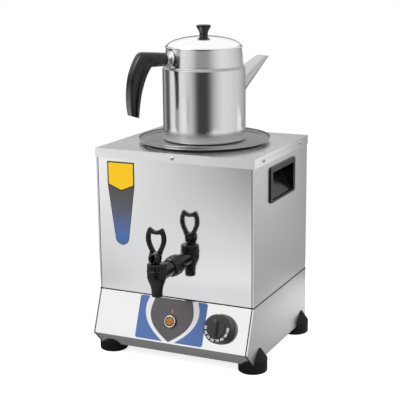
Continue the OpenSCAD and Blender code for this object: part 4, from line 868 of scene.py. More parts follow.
class BOILER_OT_lever(bpy.types.Operator):
    """The lever's cheeks and cam, and the finger loop above them"""

    bl_idname = "boiler.lever"
    bl_label = "Tap lever"

    def execute(self, context):
        gloss = black_gloss()
        pin_z = box("tap_pin").middle.z
        # (half width, height over the pin) up the outside of the loop and up its inside
        outer = [(0, 2), (7.6, 2.5), (10.4, 5.5), (12.0, 10.5), (15.2, 17.5), (17.7, 24.5), (18.5, 31),
                 (17.8, 38), (15.8, 44.5), (13.4, 49.4), (11.6, 50.5), (9.2, 49.3), (4.6, 46.6), (0, 45.8)]
        inner = [(0, 7.5), (1.2, 8.3), (3.2, 11.4), (6.4, 17), (9.0, 23), (10.4, 28.5), (10.6, 34),
                 (10.0, 37.8), (8.4, 39.6), (5.4, 39.3), (2.6, 38.9), (0, 38.8)]
        halves = [resampled(spline(np.array(half) + (0, pin_z), 160), 72) for half in (outer, inner)]
        outside, inside = (np.concatenate([half, half[-2:0:-1] * (-1, 1)]) for half in halves)
        t = np.radians(np.linspace(0, 360, 28, endpoint=False))
        bulk = (abs(np.cos(t)) ** 3.4 + abs(np.sin(t)) ** 3.4) ** (-1 / 3.4)
        across, depth = 0.5 - 0.5 * bulk * np.cos(t), 4.0 * bulk * np.sin(t)
        share = across[None, :, None]
        line = outside[:, None] * (1 - share) + inside[:, None] * share
        sideways = np.broadcast_to(TAP_Y + depth, line.shape[:2])
        grid = np.stack([line[..., 0], sideways, line[..., 1]], -1)
        loop = skin("tap_loop", grid, rows_closed=True, sharp=60)
        fitted(loop, gloss, "tap_lever", "black_gloss", "tap_lever")
        for name, line, x0, x1 in (("cheek_right", self.cheek(pin_z), 3.1, 8.0),
                                   ("cheek_left", self.cheek(pin_z), -8.0, -3.1),
                                   ("bridge", self.bridge(pin_z), -7.9, 7.9)):
            fitted(self.slab("tap_lever_" + name, line, x0, x1), gloss, "tap_lever", "black_gloss")
        return {"FINISHED"}

    @staticmethod
    def cheek(pin_z):
        """Side view of a cheek, (y, z): a round cam below and behind the pin, and a square shoulder."""
        t = np.radians(np.linspace(-205, 8, 60))
        cam = np.stack([TAP_Y - 5 + 9.7 * np.cos(t), pin_z + 9.7 * np.sin(t)], -1)
        return np.concatenate([cam, np.array([(4.2, 5.5), *SHOULDERS]) + (TAP_Y, pin_z)])

    @staticmethod
    def bridge(pin_z):
        """Side view of the block that joins the cheeks over the stem, (y, z)."""
        line = np.array([(-12, 6.7), (4, 6.7), *SHOULDERS]) + (TAP_Y, pin_z)
        return softened_corners(np.c_[line, np.full(len(line), 0.6)], 4)

    @staticmethod
    def slab(name, line, x0, x1):
        """A side view carried across from x0 to x1. It shrinks by 4.5% over the last 0.5 at both faces."""
        centre = line.mean(0)
        small = centre + (line - centre) * 0.955
        rows = [(small, x0), (line, x0 + 0.5), (line, x1 - 0.5), (small, x1)]
        grid = [np.c_[np.full(len(s), x), s] for s, x in rows]
        return skin(name, np.stack(grid), capped=True, sharp=50)


# ---- Knob and lamp ---------------------------------------------------------------------------
# The ring of numbers on the knob's face, and the step between two of them in degrees
NUMBER_RADIUS = 20.4
NUMBER_STEP = 25.3


class BOILER_OT_knob(bpy.types.Operator):
    """The thermostat knob with its grip bar and the numbers on its skirt"""

    bl_idname = "boiler.knob"
    bl_label = "Thermostat knob"

    def execute(self, context):
        gloss = knob_gloss()
        profile = softened_corners([
            (22, 4.2, 0), (22.5, 1.1, 0.6), (25.6, 1.0, 0.5), (26.2, 1.8, 0.5), (26.0, 5, 1),
            (25.2, 15.5, 1.5), (24.2, 18.8, 1.2), (16.6, 19.3, 0.5), (16.2, 19.8, 0.4),
            (15.6, 22.4, 0.7), (14.6, 22.9, 0.5), (0, 22.9, 0)], 6)

        def ribs(angle, height):
            band = np.clip((height - 2.5) / 1.5, 0, 1) * np.clip((16.5 - height) / 2.0, 0, 1)
            return 0.45 * band * (np.cos(60 * angle) > 0.2)

        grid = turned(profile, KNOB_AT, PANEL_TURN, 360, ribs)
        fitted(skin("knob_body", grid, sharp=50), gloss, "thermostat", "black_gloss", "thermostat_knob")
        self.bar(gloss)
        self.numbers()
        return {"FINISHED"}

    @staticmethod
    def bar(gloss):
        """Grip bar across the face: a rounded section that narrows upwards, carried from end to end."""
        y = np.linspace(-1, 1, 41)[:, None]
        half = 3.5 * np.sqrt(np.clip(1 - np.abs(y) ** 7, 0.02, 1))
        t = np.radians(np.linspace(0, 180, 25))[None, :]
        bulk = (np.abs(np.cos(t)) ** 4 + np.abs(np.sin(t)) ** 4) ** -0.25
        x = half * np.cos(t) * bulk * (1 - 0.16 * np.sin(t) * bulk)
        z = 22.4 + 8.2 * np.sin(t) * bulk * np.clip(1 - np.abs(y) ** 9, 0.0, 1)
        local = np.stack([x, np.broadcast_to(y * 15.6, x.shape), z], -1)
        grid = local @ PANEL_TURN.T + KNOB_AT
        fitted(skin("knob_bar", grid, columns_closed=False, sharp=50), gloss, "thermostat", "black_gloss")

    def numbers(self):
        """Degree numbers round the skirt, from nine o'clock through six to three o'clock."""
        points, faces, start = [], [], 0
        for k, text in enumerate(("30", "40", "50", "60", "70", "80", "90", "100")):
            solid = self.lettering(text)
            clock = math.radians(180 + NUMBER_STEP * k)
            c, s = math.cos(clock + math.pi / 2), math.sin(clock + math.pi / 2)
            flat = read(solid.vertices, "co", 3)
            level = flat[:, 2] + KNOB_FACE + 0.12
            flat = flat[:, :2] @ np.array([[c, s], [-s, c]])
            out = NUMBER_RADIUS * np.array([math.cos(clock), math.sin(clock)])
            points.append(np.c_[flat + out, level])
            corners = read(solid.loops, "vertex_index", kind=int) + start
            faces += np.split(corners, read(solid.polygons, "loop_start", kind=int)[1:])
            start += len(flat)
            bpy.data.meshes.remove(solid)
        mesh = bpy.data.meshes.new("knob_numbers")
        mesh.from_pydata(placed(np.concatenate(points) @ PANEL_TURN.T + KNOB_AT).tolist(), [], faces)
        white = print_film("Knob numbers", (0.80, 0.80, 0.78))
        fitted(new_object("knob_numbers", mesh), white, "thermostat", "black_gloss")

    @staticmethod
    def lettering(text):
        """A number as a thin solid lying flat about its own middle."""
        curve = bpy.data.curves.new("number", "FONT")
        curve.body, curve.size = text, 6.4
        curve.align_x, curve.align_y = "CENTER", "CENTER"
        curve.extrude, curve.offset = 0.08, 0.12
        temporary = new_object("number", curve)
        bpy.context.view_layer.update()
        graph = bpy.context.evaluated_depsgraph_get()
        solid = bpy.data.meshes.new_from_object(temporary.evaluated_get(graph))
        bpy.data.objects.remove(temporary)
        bpy.data.curves.remove(curve)
        return solid


class BOILER_OT_lamp(bpy.types.Operator):
    """The pilot lamp: black collar, bright ring and amber lens"""

    bl_idname = "boiler.lamp"
    bl_label = "Pilot lamp"

    def execute(self, context):
        collar = softened_corners([
            (7.9, 3, 0), (7.9, 0.05, 0), (11, 0.05, 0.2), (11, 2.2, 0.5), (10.2, 3.0, 0.4), (7.9, 3, 0)])
        ring = softened_corners([
            (8.6, 3.06, 0), (10.4, 3.06, 0.3), (10.5, 4.4, 0.6), (9.9, 5.4, 0.5), (8.9, 5.3, 0.2),
            (8.6, 3.4, 0)])
        r = np.linspace(0, 1, 24)
        dome = np.c_[8.5 * r, 4.2 + 1.9 * (1 - r**2) + 0.18 * np.cos(r * 26)]
        lens = np.concatenate([dome, [(8.5, 3.1), (7.8, 3.0), (7.65, 0.1), (0, 0.1)]])
        for node, profile, sharp, look, slot in (
                ("lamp_collar", collar, 34, black_satin(), "black_plastic"),
                ("lamp_ring", ring, 34, self.ring_steel(), "polished_steel"),
                ("lamp_lens", lens, 50, self.lens_plastic(), "amber_lens")):
            piece = skin(node + "_skin", turned(profile, LAMP_AT, PANEL_TURN, 96), sharp=sharp)
            fitted(piece, look, "cabinet", slot, node)
        return {"FINISHED"}

    @staticmethod
    def ring_steel():
        return steel("Lamp ring", (0.85, 0.84, 0.83), 0.3, (400, 400, 400), 0.3, 0.3)

    @staticmethod
    def lens_plastic():
        """Clear amber over a cut pattern, with painted shade that darkens it towards the rim beside the
        ring.
        """
        made = plastic("Amber lens", setting("plastics").amber, 0.12, 0.2, 0.0, coat=0.2, bump=0.0)
        g, look, place = opened(made)
        cells = g.node("ShaderNodeTexVoronoi", {"Vector": place, "Scale": 420.0}).outputs["Distance"]
        amber = np.array(setting("plastics").amber)
        shade = g.ramp(cells, [(0.0, tuple(1.2 * amber)), (0.5, tuple(amber)), (1.0, tuple(0.5 * amber))])
        centre = tuple(placed(LAMP_AT))
        away = g.node("ShaderNodeVectorMath", {0: place, 1: centre}, operation="DISTANCE").outputs["Value"]
        # painted shade: the lens darkens to near black towards its rim, beside the ring
        rim = g.span(away, 7.6 * MM, 9.6 * MM)
        g.link(g.mix(rim, shade, (0.02, 0.012, 0.006, 1)), look.inputs["Colour"])
        return made


# ---- Plate and teapot ------------------------------------------------------------------------
class BOILER_OT_plate(bpy.types.Operator):
    """The rimmed plate over the tank's mouth"""

    bl_idname = "boiler.plate"
    bl_label = "Plate"

    def execute(self, context):
        plate = box("pot_plate")
        rim, top, foot = plate.high.x, plate.high.z, plate.low.z
        under = top - 6.2
        floor = under + 0.8
        profile = softened_corners([
            (0, under, 0), (96.2, under, 0), (96.2, foot, 0), (97, foot, 0), (97, under, 0),
            (rim - 1.4, under, 1.2), (rim - 0.25, under + 1.4, 1), (rim - 0.25, top - 1.0, 0.6),
            (rim, top - 0.5, 0.3), (rim - 0.4, top, 0.3), (rim - 1.0, top - 0.5, 0.4),
            (rim - 1.1, floor + 1.6, 1.4), (rim - 2.4, floor, 1.2), (rim - 8, floor, 1),
            (rim - 9, floor - 0.15, 1), (0, floor - 0.15, 0)], 6)
        grid = turned(profile, (0, 0, 0), segments=256)
        fitted(skin("plate_skin", grid, sharp=40), plate_steel(), "plate", "polished_steel", "pot_plate")
        return {"FINISHED"}


def plate_steel():
    chosen = setting("steel")
    # painted shade: the plate's steel is darkened to 0.42 of the satin colour for the shade round the pot
    dark = [0.42 * part for part in chosen.satin]
    return steel("Plate steel", dark, 0.24, (600, 600, 600), 0.4, 0.5, 0.0006)


def lid_steel():
    chosen = setting("steel")
    bright = [1.12 * part for part in chosen.polished]
    return steel("Lid steel", bright, 0.17, (600, 600, 600), 0.4, 0.3, 0.0006)


# The spout points this far round from the cabinet's right side, towards its back
POT_TURN = math.radians(55)
# The teapot's shoulder and tapered neck: heights from its bottom, and the neck's radii
SHOULDER = 127.5
NECK_START = 133.0
NECK_EDGE = box("pot_body").size.z
NECK_FOOT = 70.3
NECK_TOP = 66.8
# Height of the grip's arm, and the neck's radius there
GRIP_Z = box("pot_ferrule").middle.z - POT_Z
NECK_MID = NECK_FOOT - (NECK_FOOT - NECK_TOP) * (GRIP_Z - NECK_START) / (NECK_EDGE - NECK_START)


def in_pot(points):
    """Turns pot coordinates (towards the spout, sideways, height) into the cabinet's."""
    points = np.asarray(points, float)
    c, s = math.cos(POT_TURN), math.sin(POT_TURN)
    return np.stack([points[..., 0] * c - points[..., 1] * s, points[..., 0] * s + points[..., 1] * c,
                     points[..., 2] + POT_Z], -1)


class BOILER_OT_pot(bpy.types.Operator):
    """The teapot's body, spout and handle socket"""

    bl_idname = "boiler.pot"
    bl_label = "Teapot body"

    def execute(self, context):
        body_r = box("pot_body").size.x / 2
        top, wall = NECK_EDGE, 0.8
        outside = [
            (0, 0.02, 0), (body_r, 0.02, 4.2), (body_r, SHOULDER - 2, 1.5), (body_r - 0.3, SHOULDER, 0.8),
            (NECK_FOOT + 1.4, SHOULDER + 1.4, 0.8), (NECK_FOOT + 0.3, SHOULDER + 2.6, 0.8),
            (NECK_FOOT, NECK_START, 1), (NECK_TOP, top - 1.5, 0.8), (NECK_TOP + 0.1, top - 0.3, 0.25),
            (NECK_TOP - 0.2, top, 0.2)]
        inside = [
            (NECK_TOP - wall, top - 0.3, 0.2), (NECK_FOOT - wall, NECK_START, 1),
            (NECK_FOOT + 0.3 - wall, SHOULDER + 1.6, 1), (body_r - wall, SHOULDER - 2, 2),
            (body_r - wall, wall, 3.4), (0, wall, 0)]
        grid = turned(softened_corners(outside + inside, 6), (0, 0, POT_Z), segments=256)
        fitted(skin("pot_skin", grid, sharp=44), self.pot_steel_painted_shade(), "teapot", "polished_steel", "pot_body")
        self.spout(body_r)
        self.socket()
        return {"FINISHED"}

    @staticmethod
    def pot_steel_painted_shade():
        """Spun steel, dull at the foot, and with a dull band round the shoulder darkened as painted shade
        for the groove at the step there.
        """
        chosen = setting("steel")
        made = steel("Pot steel", chosen.polished, chosen.polish * 1.7, (5, 5, 1400), 0.5, 0.4, 0.08)
        g, look, place = opened(made)
        height = g.parts(place)[2]
        # painted shade: a darker grey band round the shoulder step
        off = g.math("ABSOLUTE", g.minus(height, (POT_Z + SHOULDER + 1.3) * MM))
        band = g.span(off, 3.2 * MM, 1.6 * MM)
        g.link(g.mix(band, rgba(chosen.polished), (0.42, 0.42, 0.43, 1)), look.inputs["Colour"])
        foot = g.span(height, (POT_Z + 24) * MM, (POT_Z + 6) * MM)
        dull = g.math("MULTIPLY_ADD", g.math("MAXIMUM", band, foot), 0.34, chosen.polish * 1.7)
        g.link(dull, look.inputs["Roughness"])
        return made

    @staticmethod
    def spout(body_r):
        """Spout: an egg-shaped section, widest above its middle, carried from a tall root to a level lip.
        The section's halves are powers of a circle, so a soft crease runs where it is widest."""

        def shell(inset, start, stop, rows):
            """The spout's wall, drawn in by the inset, from one share of its length to another."""
            s = np.linspace(start, stop, rows)[:, None]
            low = np.array([[body_r - 9, 57]]) * (1 - s) + np.array([[137, 140.5]]) * s
            high = np.array([[NECK_TOP - 9, 113]]) * (1 - s) + np.array([[112.5, 142]]) * s
            span = high - low
            length = np.linalg.norm(span, axis=1, keepdims=True)
            axis = span / length
            wide = 17 * (1 - s) + 9.5 * s - inset
            t = np.linspace(0, 2 * np.pi, 96, endpoint=False)[None, :]
            up = np.sin(t)
            share = np.where(up > 0, 0.62 + 0.38 * up, 0.62 + 0.62 * up)
            side = np.cos(t) * np.where(up > 0, 1.0, 1 - 0.12 * up**2)
            share = inset / length + share * (1 - 2 * inset / length)
            out = low[:, :1] + axis[:, :1] * length * share
            return np.stack([out, wide * side, low[:, 1:] + axis[:, 1:] * length * share], -1)

        outer, inner = shell(0, 0, 1, 44), shell(0.7, 1, 0.02, 40)
        grid = np.concatenate([outer, inner])
        radius = np.hypot(grid[..., 0], grid[..., 1])
        skin_r = np.interp(grid[..., 2], [SHOULDER, NECK_START, NECK_EDGE], [body_r, NECK_FOOT, NECK_TOP])
        push = np.where(radius < skin_r - 0.5, (skin_r - 0.5) / np.maximum(radius, 1), 1.0)
        grid[..., :2] *= push[..., None]
        piece = skin("spout_skin", in_pot(grid), sharp=30)
        fitted(piece, spout_steel(), "teapot", "polished_steel", "pot_spout")

    @staticmethod
    def socket():
        """Handle socket: a saddle-shaped foot on the neck that runs up into a short tube."""
        t = np.linspace(0, 2 * np.pi, 96, endpoint=False)[None, :]
        rho = np.array([14.2, 13.4, 11.5, 9.3, 7.6, 6.8, 6.5, 6.4, 6.4, 6.0, 0.0])[:, None]
        lift = np.array([0.0, 0.9, 1.5, 2.0, 3.0, 4.4, 6.0, 7.0, 9.6, 9.8, 9.8])[:, None]
        side, up = rho * np.cos(t), rho * np.sin(t)
        z = GRIP_Z + up
        neck = np.interp(z, [NECK_START, NECK_EDGE], [NECK_FOOT, NECK_TOP])
        base = np.sqrt(neck**2 - side**2)
        level = NECK_MID + lift + 0.3
        blend = np.clip(lift / 6.0, 0, 1)
        x = (base + lift) * (1 - blend) + level * blend
        grid = in_pot(np.stack([-x, side, z], -1))
        piece = skin("socket_skin", grid, sharp=50)
        fitted(piece, socket_steel(), "teapot", "polished_steel", "pot_ferrule")


def section_map(piece, place):
    """Map that holds each point's place across the grip's section."""
    corners = read(piece.data.loops, "vertex_index", kind=int)
    uv = np.stack([place[corners], np.zeros(len(corners))], -1)
    piece.data.uv_layers.new(name="Section").data.foreach_set("uv", uv.ravel())


class BOILER_OT_grip(bpy.types.Operator):
    """The teapot's moulded grip, with its arm and its fluted sides"""

    bl_idname = "boiler.grip"
    bl_label = "Teapot grip"

    def execute(self, context):
        gloss = grip_gloss_painted_highlight()
        arm = softened_corners([
            (5.2, 76.2, 0), (9.4, 76.2, 0.8), (11.6, 78.6, 2.2), (12.0, 90, 2), (12.0, 112, 1),
            (0, 114, 0)], 6)
        backwards = np.array([[0, 0, -1], [1, 0, 0], [0, 1, 0]], float)
        local = turned(arm, (0, 0, GRIP_Z), backwards, 96)
        piece = skin("grip_arm", in_pot(local))
        section_map(piece, np.full(len(piece.data.vertices), 0.75))
        fitted(piece, gloss, "teapot", "black_gloss", "pot_grip")
        self.handle(gloss)
        return {"FINISHED"}

    @staticmethod
    def handle(gloss):
        """Grip: at each station a rounded-square section spans from the outer to the inner edge; its
        sides are hollowed by a flute, a raised cosine of the height on the side."""
        # outer edge (out, up), inner edge (out, up), half width
        stations = np.array([
            (88.0, 157.6, 106.8, 136.0, 10.6), (90.0, 158.2, 107.0, 135.8, 11.9),
            (101.0, 159.0, 107.6, 134.8, 12.6), (114.0, 159.9, 109.2, 131.8, 12.8),
            (123.5, 160.2, 111.4, 128.2, 12.8), (130.0, 157.2, 113.6, 124.0, 12.6),
            (137.0, 147.5, 116.6, 118.0, 12.2), (143.7, 133.7, 120.0, 109.0, 11.6),
            (148.7, 119.3, 123.2, 99.2, 11.0), (152.0, 100.2, 126.4, 87.2, 10.4),
            (153.0, 81.0, 129.0, 72.8, 9.8), (152.3, 66.1, 130.8, 59.8, 9.3),
            (150.6, 55.5, 132.0, 49.7, 8.9), (150.0, 53.5, 132.3, 47.9, 8.3),
            (147.0, 52.8, 134.6, 48.8, 6.0)])
        rows = spline(stations, 150)
        t = np.radians(np.linspace(0, 360, 96, endpoint=False))
        bulk = (np.abs(np.cos(t)) ** 3 + np.abs(np.sin(t)) ** 3) ** (-1 / 3)
        share = 0.5 - 0.5 * bulk * np.cos(t)
        side = bulk * np.sin(t)
        off = (share - 0.47) / 0.26
        flute = np.where(np.abs(off) < 1, np.maximum(np.cos(off * np.pi / 2), 0) ** 1.2, 0)
        run = np.linspace(0, 1, len(rows))[:, None]
        depth = 2.4 * np.clip((run - 0.16) / 0.12, 0, 1) * np.clip((0.97 - run) / 0.06, 0, 1)
        width = rows[:, 4:5] * side[None, :] - np.sign(side)[None, :] * depth * flute[None, :]
        out = rows[:, 0:1] * (1 - share) + rows[:, 2:3] * share
        up = rows[:, 1:2] * (1 - share) + rows[:, 3:4] * share
        grid = np.stack([-out, width, up], -1)
        piece = skin("grip_handle", in_pot(grid), capped=True, sharp=60)
        section_map(piece, np.broadcast_to(share, grid.shape[:2]).ravel())
        fitted(piece, gloss, "teapot", "black_gloss")


class BOILER_OT_lid(bpy.types.Operator):
    """The domed lid and its turned knob"""

    bl_idname = "boiler.lid"
    bl_label = "Teapot lid"

    def execute(self, context):
        top = NECK_EDGE
        a = np.radians(np.linspace(0, 90, 40))
        dome = np.c_[66.4 * np.cos(a), top + 1.2 + 18.2 * np.sin(a) ** 1.1]
        rim = softened_corners([
            (65.2, top + 0.9, 0), (65.2, top - 8, 0), (64.5, top - 8, 0), (64.5, top + 1, 0),
            (66.5, top + 0.25, 0), (68.9, top + 0.25, 0.3), (69.3, top + 0.55, 0.3),
            (68.9, top + 0.95, 0.3), (67.2, top + 1.1, 0.4), (66.4, top + 1.2, 0)], 4)
        under = np.c_[65.0 * np.cos(a), top + 0.6 + 17.8 * np.sin(a) ** 1.1][::-1]
        profile = np.concatenate([under[:-1], rim[:-1], dome])
        grid = turned(profile, (0, 0, POT_Z), segments=256)
        fitted(skin("lid_skin", grid, sharp=50), lid_steel(), "lid", "polished_steel", "pot_lid")
        self.knob()
        return {"FINISHED"}

    @staticmethod
    def knob():
        """Turned knob: waisted above its foot, widest under its domed top."""
        z, h = box("pot_lid_knob").low.z, box("pot_lid_knob").size.z
        profile = softened_corners([
            (0, -0.6, 0), (7.8, -0.6, 0.3), (7.9, 0.6, 0.4), (7.2, 1.9, 1), (7.5, 4.6, 2.5), (9.0, 8.4, 3),
            (10.9, 11.6, 3), (12.7, h - 4.0, 1), (13.0, h - 2.4, 0.8), (12.9, h - 1.5, 0.6),
            (11.6, h - 0.8, 1), (6.0, h - 0.1, 2), (0, h, 0)], 6)
        grid = turned(profile, (0, 0, z))
        piece = skin("lid_knob_skin", grid, sharp=50)
        fitted(piece, black_gloss(), "lid", "black_gloss", "pot_lid_knob")


# ---- Inner parts -----------------------------------------------------------------------------
class BOILER_OT_inner(bpy.types.Operator):
    """Finishes for the parts inside and for small fittings"""

    bl_idname = "boiler.inner"
    bl_label = "Inner parts"

    def execute(self, context):
        element = steel("Element steel", (0.34, 0.30, 0.27), 0.36, (60, 60, 60), 0.8, 1.2)
        brass = steel("Brass", (0.72, 0.52, 0.20), 0.26, (200, 200, 200), 0.6, 0.8)
        cream = plastic("Cream insulator", (0.72, 0.68, 0.58), 0.45, 0.8, 0.1)
        silicone = plastic("Black silicone", (0.016, 0.016, 0.016), 0.55, 0.6, 0.05)
        finish_nodes(zinc(), "bottom_plate", "bottom_screws", "foot_screws", "tank_legs", "tap_nut",
                     "tap_spring", "thermostat_screws", "thermostat_shaft", "tap_pin", "pot_grip_screw",
                     "pot_lid_screw")
        finish_nodes(spun_steel(), "water_tank")
        finish_nodes(element, "heating_element")
        finish_nodes(brass, "element_nuts", "thermostat_bulb", "earth_stud")
        finish_nodes(cream, "limit_cutout", "thermostat_body", "terminal_block")
        # painted shade: the mouth gasket is black so the seam under the plate reads as shadow
        finish_nodes(silicone, "mouth_gasket", "tap_gasket", "tap_seat_cup")
        finish_nodes(plastic("Wire sleeve", (0.06, 0.13, 0.38), 0.42, 0.5, 0.05), "wiring")
        finish_nodes(black_gloss(), "tap_stem")
        # painted shade: the deck plate is black so the seam between cabinet and base reads as a shaded
        # groove
        finish_nodes(black_satin(), "deck_plate", "cable_gland", "lamp_body")
        return {"FINISHED"}


# ---- Studio ----------------------------------------------------------------------------------
# Bearing in degrees from straight in front, turning to the right, and how bright the wall is there
WALLS = [
    (-180, 0.32), (-155, 0.14), (-128, 0.12), (-116, 0.43), (-103, 0.10), (-89, 0.10), (-81, 0.75),
    (-68, 0.85), (-60, 0.30), (-54, 0.30), (-46, 0.81), (-36, 0.79), (-26, 0.70), (-12, 0.56),
    (-2, 0.30), (6, 0.08), (14, 0.05), (27, 0.05), (36, 0.08), (44, 0.26), (53, 0.46), (61, 0.61),
    (69, 0.70), (78, 0.77), (98, 0.75), (108, 0.71), (120, 0.67), (134, 0.62), (150, 0.51), (180, 0.31)]
# Where the low screen's shade starts to change, and over how much of it, in degrees across and up
SCREEN_LEFT, SCREEN_ACROSS = -30.6, 8.4
SCREEN_FOOT, SCREEN_UP = -18.4, 7.6
# How bright the floor looks in the steel: under the front edge and ahead of it, beside the cabinet at
# its front and at its back, and further out, where the casing mirrors it
FLOOR_UNDER = 0.16
FLOOR_AHEAD = 0.8
FLOOR_SIDE = 0.46
FLOOR_REAR = 0.95
FLOOR_FAR = 0.34
# The camera: yaw, pitch and roll in degrees, and its place in metres from the cabinet's middle
CAMERA_ANGLES = (25.024, 13.188, 0.550)
CAMERA_AT = (0.7793, -1.6912, 0.7037)
# What the lamps look at
AIM = (0, 0.03, 0.28)


def world_light():
    """A studio all round: pale walls, a bright ceiling, a dark gap behind the camera, and a low screen
    in front of the cabinet that darkens upwards and to the right."""
    world = bpy.data.worlds.new("Studio")
    bpy.context.scene.world = world
    world.use_nodes = True
    g = Graph(world.node_tree)
    background = world.node_tree.nodes["Background"]
    xyz = g.parts(g.node("ShaderNodeTexCoord").outputs["Generated"])
    bearing = g.math("ARCTAN2", xyz[0], g.times(xyz[1], -1.0))
    turn = g.math("DIVIDE", g.plus(bearing, math.pi), 2 * math.pi)
    walls = g.ramp(turn, [((angle + 180) / 360, (shade,) * 3) for angle, shade in WALLS])
    azimuth = g.times(bearing, 180 / math.pi)
    height = g.times(g.math("ARCSINE", xyz[2]), 180 / math.pi)
    across = g.math("DIVIDE", g.plus(azimuth, -SCREEN_LEFT), SCREEN_ACROSS, clamp=True)
    up = g.math("DIVIDE", g.plus(height, -SCREEN_FOOT), SCREEN_UP, clamp=True)
    corner = g.times(g.math("POWER", g.minus(1.0, across), 2.0), g.minus(1.0, up))
    sides = g.math("MULTIPLY_ADD", across, 0.06, g.times(corner, 0.46))
    drop = g.plus(g.times(g.times(across, up), 0.72), sides)
    screen = g.minus(1.04, drop)
    edges = g.times(g.ease(azimuth, -40, -35), g.ease(azimuth, -14, -18))
    edges = g.times(edges, g.ease(height, -9.8, -10.6))
    room = g.mix(edges, walls, screen)
    behind = g.ease(g.math("ABSOLUTE", azimuth), 120, 145)
    over = g.minus(height, g.times(behind, 2.5))
    room = g.mix(g.ease(over, 4, 16), room, (1.0, 1.0, 1.0, 1))
    seen = g.node("ShaderNodeLightPath").outputs["Is Camera Ray"]
    g.link(g.mix(seen, room, (1, 1, 1, 1)), background.inputs["Color"])


def floor_material():
    """Pale paper, lifted to white for the camera where nothing shades it; it fades out at its rim.

    Mirrors see its light fall off towards the cabinet: least under the front edge, then along the right
    side from front to back."""
    made, g, surface = bare_material("Floor paper")
    place = g.node("ShaderNodeTexCoord").outputs["Object"]
    grain = g.noise(place, 40.0)
    paper = g.mix(g.times(grain, 0.04), (0.86, 0.86, 0.86, 1), (0.8, 0.8, 0.8, 1))
    diffuse = g.node("ShaderNodeBsdfDiffuse", {"Color": paper})
    path = g.node("ShaderNodeLightPath").outputs
    glow = g.node("ShaderNodeEmission", {"Strength": g.times(path["Is Camera Ray"], 0.75)})
    both = g.node("ShaderNodeAddShader", {0: diffuse.outputs[0], 1: glow.outputs[0]})
    # places in metres: right of the cabinet's side, back along it, further out, and ahead of the front
    xyz = g.parts(place)
    rightwards = g.ease(xyz[0], 0.145, 0.175)
    behind = g.ease(xyz[1], MIDDLE_Y - 0.06, MIDDLE_Y + 0.36)
    side = g.math("MULTIPLY_ADD", behind, FLOOR_REAR - FLOOR_SIDE, FLOOR_SIDE)
    far = g.ease(xyz[0], 0.270, 0.286)
    side = g.math("MULTIPLY_ADD", far, g.minus(FLOOR_FAR, side), side)
    front = g.ease(xyz[1], MIDDLE_Y - 0.10, MIDDLE_Y - 0.34)
    ahead = g.math("MULTIPLY_ADD", front, FLOOR_AHEAD - FLOOR_UNDER, FLOOR_UNDER)
    level = g.plus(g.times(side, rightwards), g.times(ahead, g.minus(1.0, rightwards)))
    mirrored = g.node("ShaderNodeEmission", {"Strength": level})
    sides = {0: path["Is Glossy Ray"], 1: both.outputs[0], 2: mirrored.outputs[0]}
    lit = g.node("ShaderNodeMixShader", sides)
    away = g.node("ShaderNodeVectorMath", {0: place}, operation="LENGTH").outputs["Value"]
    fade = g.ease(away, 0.50, 0.62)
    clear = g.node("ShaderNodeBsdfTransparent")
    faded = g.node("ShaderNodeMixShader", {0: fade, 1: lit.outputs[0], 2: clear.outputs[0]})
    g.link(faded.outputs[0], surface)
    return made


def screen_material():
    """Light of the screen behind the right side: darkest at its near upper corner."""
    made, g, surface = bare_material("Side screen")
    xyz = g.parts(g.node("ShaderNodeTexCoord").outputs["Object"])
    across, up = g.span(xyz[0], 0.255, 0.39), g.span(xyz[2], 0.0, 0.30)
    near = g.times(g.minus(1.0, across), g.math("POWER", up, 2.0))
    level = g.minus(g.math("MULTIPLY_ADD", g.times(across, up), 0.46, 0.38), g.times(near, 0.10))
    level = g.math("MULTIPLY_ADD", across, 0.08, level)
    glow = g.node("ShaderNodeEmission", {"Strength": level})
    g.link(glow.outputs[0], surface)
    return made


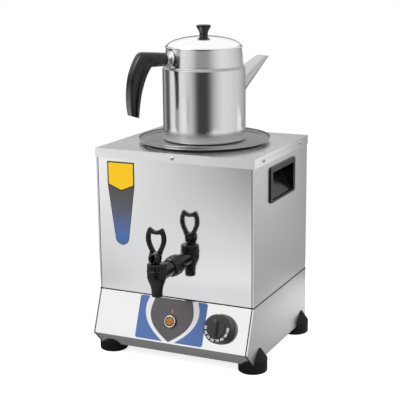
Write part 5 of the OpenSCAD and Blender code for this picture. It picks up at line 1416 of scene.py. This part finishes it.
class BOILER_OT_stage(bpy.types.Operator):
    """Floor, lights, world and camera"""

    bl_idname = "boiler.stage"
    bl_label = "Studio"

    def execute(self, context):
        # a round floor just under the feet; floor_material() fades it out before its rim
        t = np.linspace(0, 2 * np.pi, 96, endpoint=False)
        rings = [np.c_[r * np.cos(t), r * np.sin(t), np.full(96, -0.4)] for r in (0.0, 400.0, 640.0)]
        floor = skin("studio_floor", np.stack(rings))
        floor.data.materials.append(floor_material())
        screen = skin("side_screen", [[(150, 440, 0), (150, 440, 330)], [(620, 440, 0), (620, 440, 330)]],
                      columns_closed=False)
        screen.data.materials.append(screen_material())
        screen.visible_camera = screen.visible_diffuse = screen.visible_shadow = False
        world_light()
        self.area("Key", (-1.3, -1.5, 2.1), 1.3, setting("studio").key)
        self.area("Fill", (1.9, 0.2, 1.5), 1.0, setting("studio").key * 0.35).visible_glossy = False
        self.camera()
        context.scene.view_settings.view_transform = "Standard"
        return {"FINISHED"}

    @staticmethod
    def area(name, place, size, power):
        light = bpy.data.lights.new(name, "AREA")
        light.shape, light.size, light.energy = "DISK", size, power
        obj = bpy.data.objects.new(name, light)
        bpy.context.scene.collection.objects.link(obj)
        obj.location = place
        obj.rotation_mode = "QUATERNION"
        obj.rotation_quaternion = (Vector(place) - Vector(AIM)).to_track_quat("Z", "Y")
        return obj

    @staticmethod
    def camera():
        """Camera from its yaw, pitch and roll: the view axis first, then the roll about it."""
        yaw, pitch, roll = (math.radians(a) for a in CAMERA_ANGLES)
        flat = math.cos(pitch)
        ahead = Vector((-math.sin(yaw) * flat, math.cos(yaw) * flat, -math.sin(pitch)))
        level = Vector((math.cos(yaw), math.sin(yaw), 0))
        down = ahead.cross(level)
        right = level * math.cos(roll) + down * math.sin(roll)
        below = down * math.cos(roll) - level * math.sin(roll)
        data = bpy.data.cameras.new("Camera")
        data.lens, data.sensor_width = setting("studio").lens, 36
        data.clip_start, data.clip_end = 0.05, 60
        obj = bpy.data.objects.new("Camera", data)
        bpy.context.scene.collection.objects.link(obj)
        basis = Matrix((right, -below, -ahead)).transposed().to_4x4()
        basis.translation = Vector((CAMERA_AT[0], CAMERA_AT[1] + MIDDLE_Y, CAMERA_AT[2]))
        obj.matrix_world = basis
        bpy.context.scene.camera = obj


# ---- Panel and registration ------------------------------------------------------------------
PIECES = (
    BOILER_OT_sheets, BOILER_OT_joints, BOILER_OT_feet, BOILER_OT_cups, BOILER_OT_badge,
    BOILER_OT_label, BOILER_OT_screws, BOILER_OT_tap, BOILER_OT_lever, BOILER_OT_knob,
    BOILER_OT_lamp, BOILER_OT_plate, BOILER_OT_pot, BOILER_OT_grip, BOILER_OT_lid,
    BOILER_OT_inner, BOILER_OT_stage)


class BOILER_PT_panel(bpy.types.Panel):
    """Lists the pieces and their settings"""

    bl_label = "Tea boiler"
    bl_idname = "BOILER_PT_panel"
    bl_space_type = "VIEW_3D"
    bl_region_type = "UI"
    bl_category = "Tea boiler"

    def draw(self, context):
        for name in ("steel", "plastics", "studio"):
            values = setting(name)
            for key in values.__annotations__:
                self.layout.prop(values, key)
        for piece in PIECES:
            self.layout.operator(piece.bl_idname)


GROUPS = {"steel": BoilerSteel, "plastics": BoilerPlastics, "studio": BoilerStudio}


def register():
    for cls in (*GROUPS.values(), *PIECES, BOILER_PT_panel):
        bpy.utils.register_class(cls)
    for name, cls in GROUPS.items():
        setattr(bpy.types.Scene, "boiler_" + name, PointerProperty(type=cls))


def unregister():
    for name in GROUPS:
        delattr(bpy.types.Scene, "boiler_" + name)
    for cls in reversed((*GROUPS.values(), *PIECES, BOILER_PT_panel)):
        bpy.utils.unregister_class(cls)


def main():
    register()
    for piece in PIECES:
        family, name = piece.bl_idname.split(".")
        getattr(getattr(bpy.ops, family), name)()


if __name__ == "__main__":
    main()
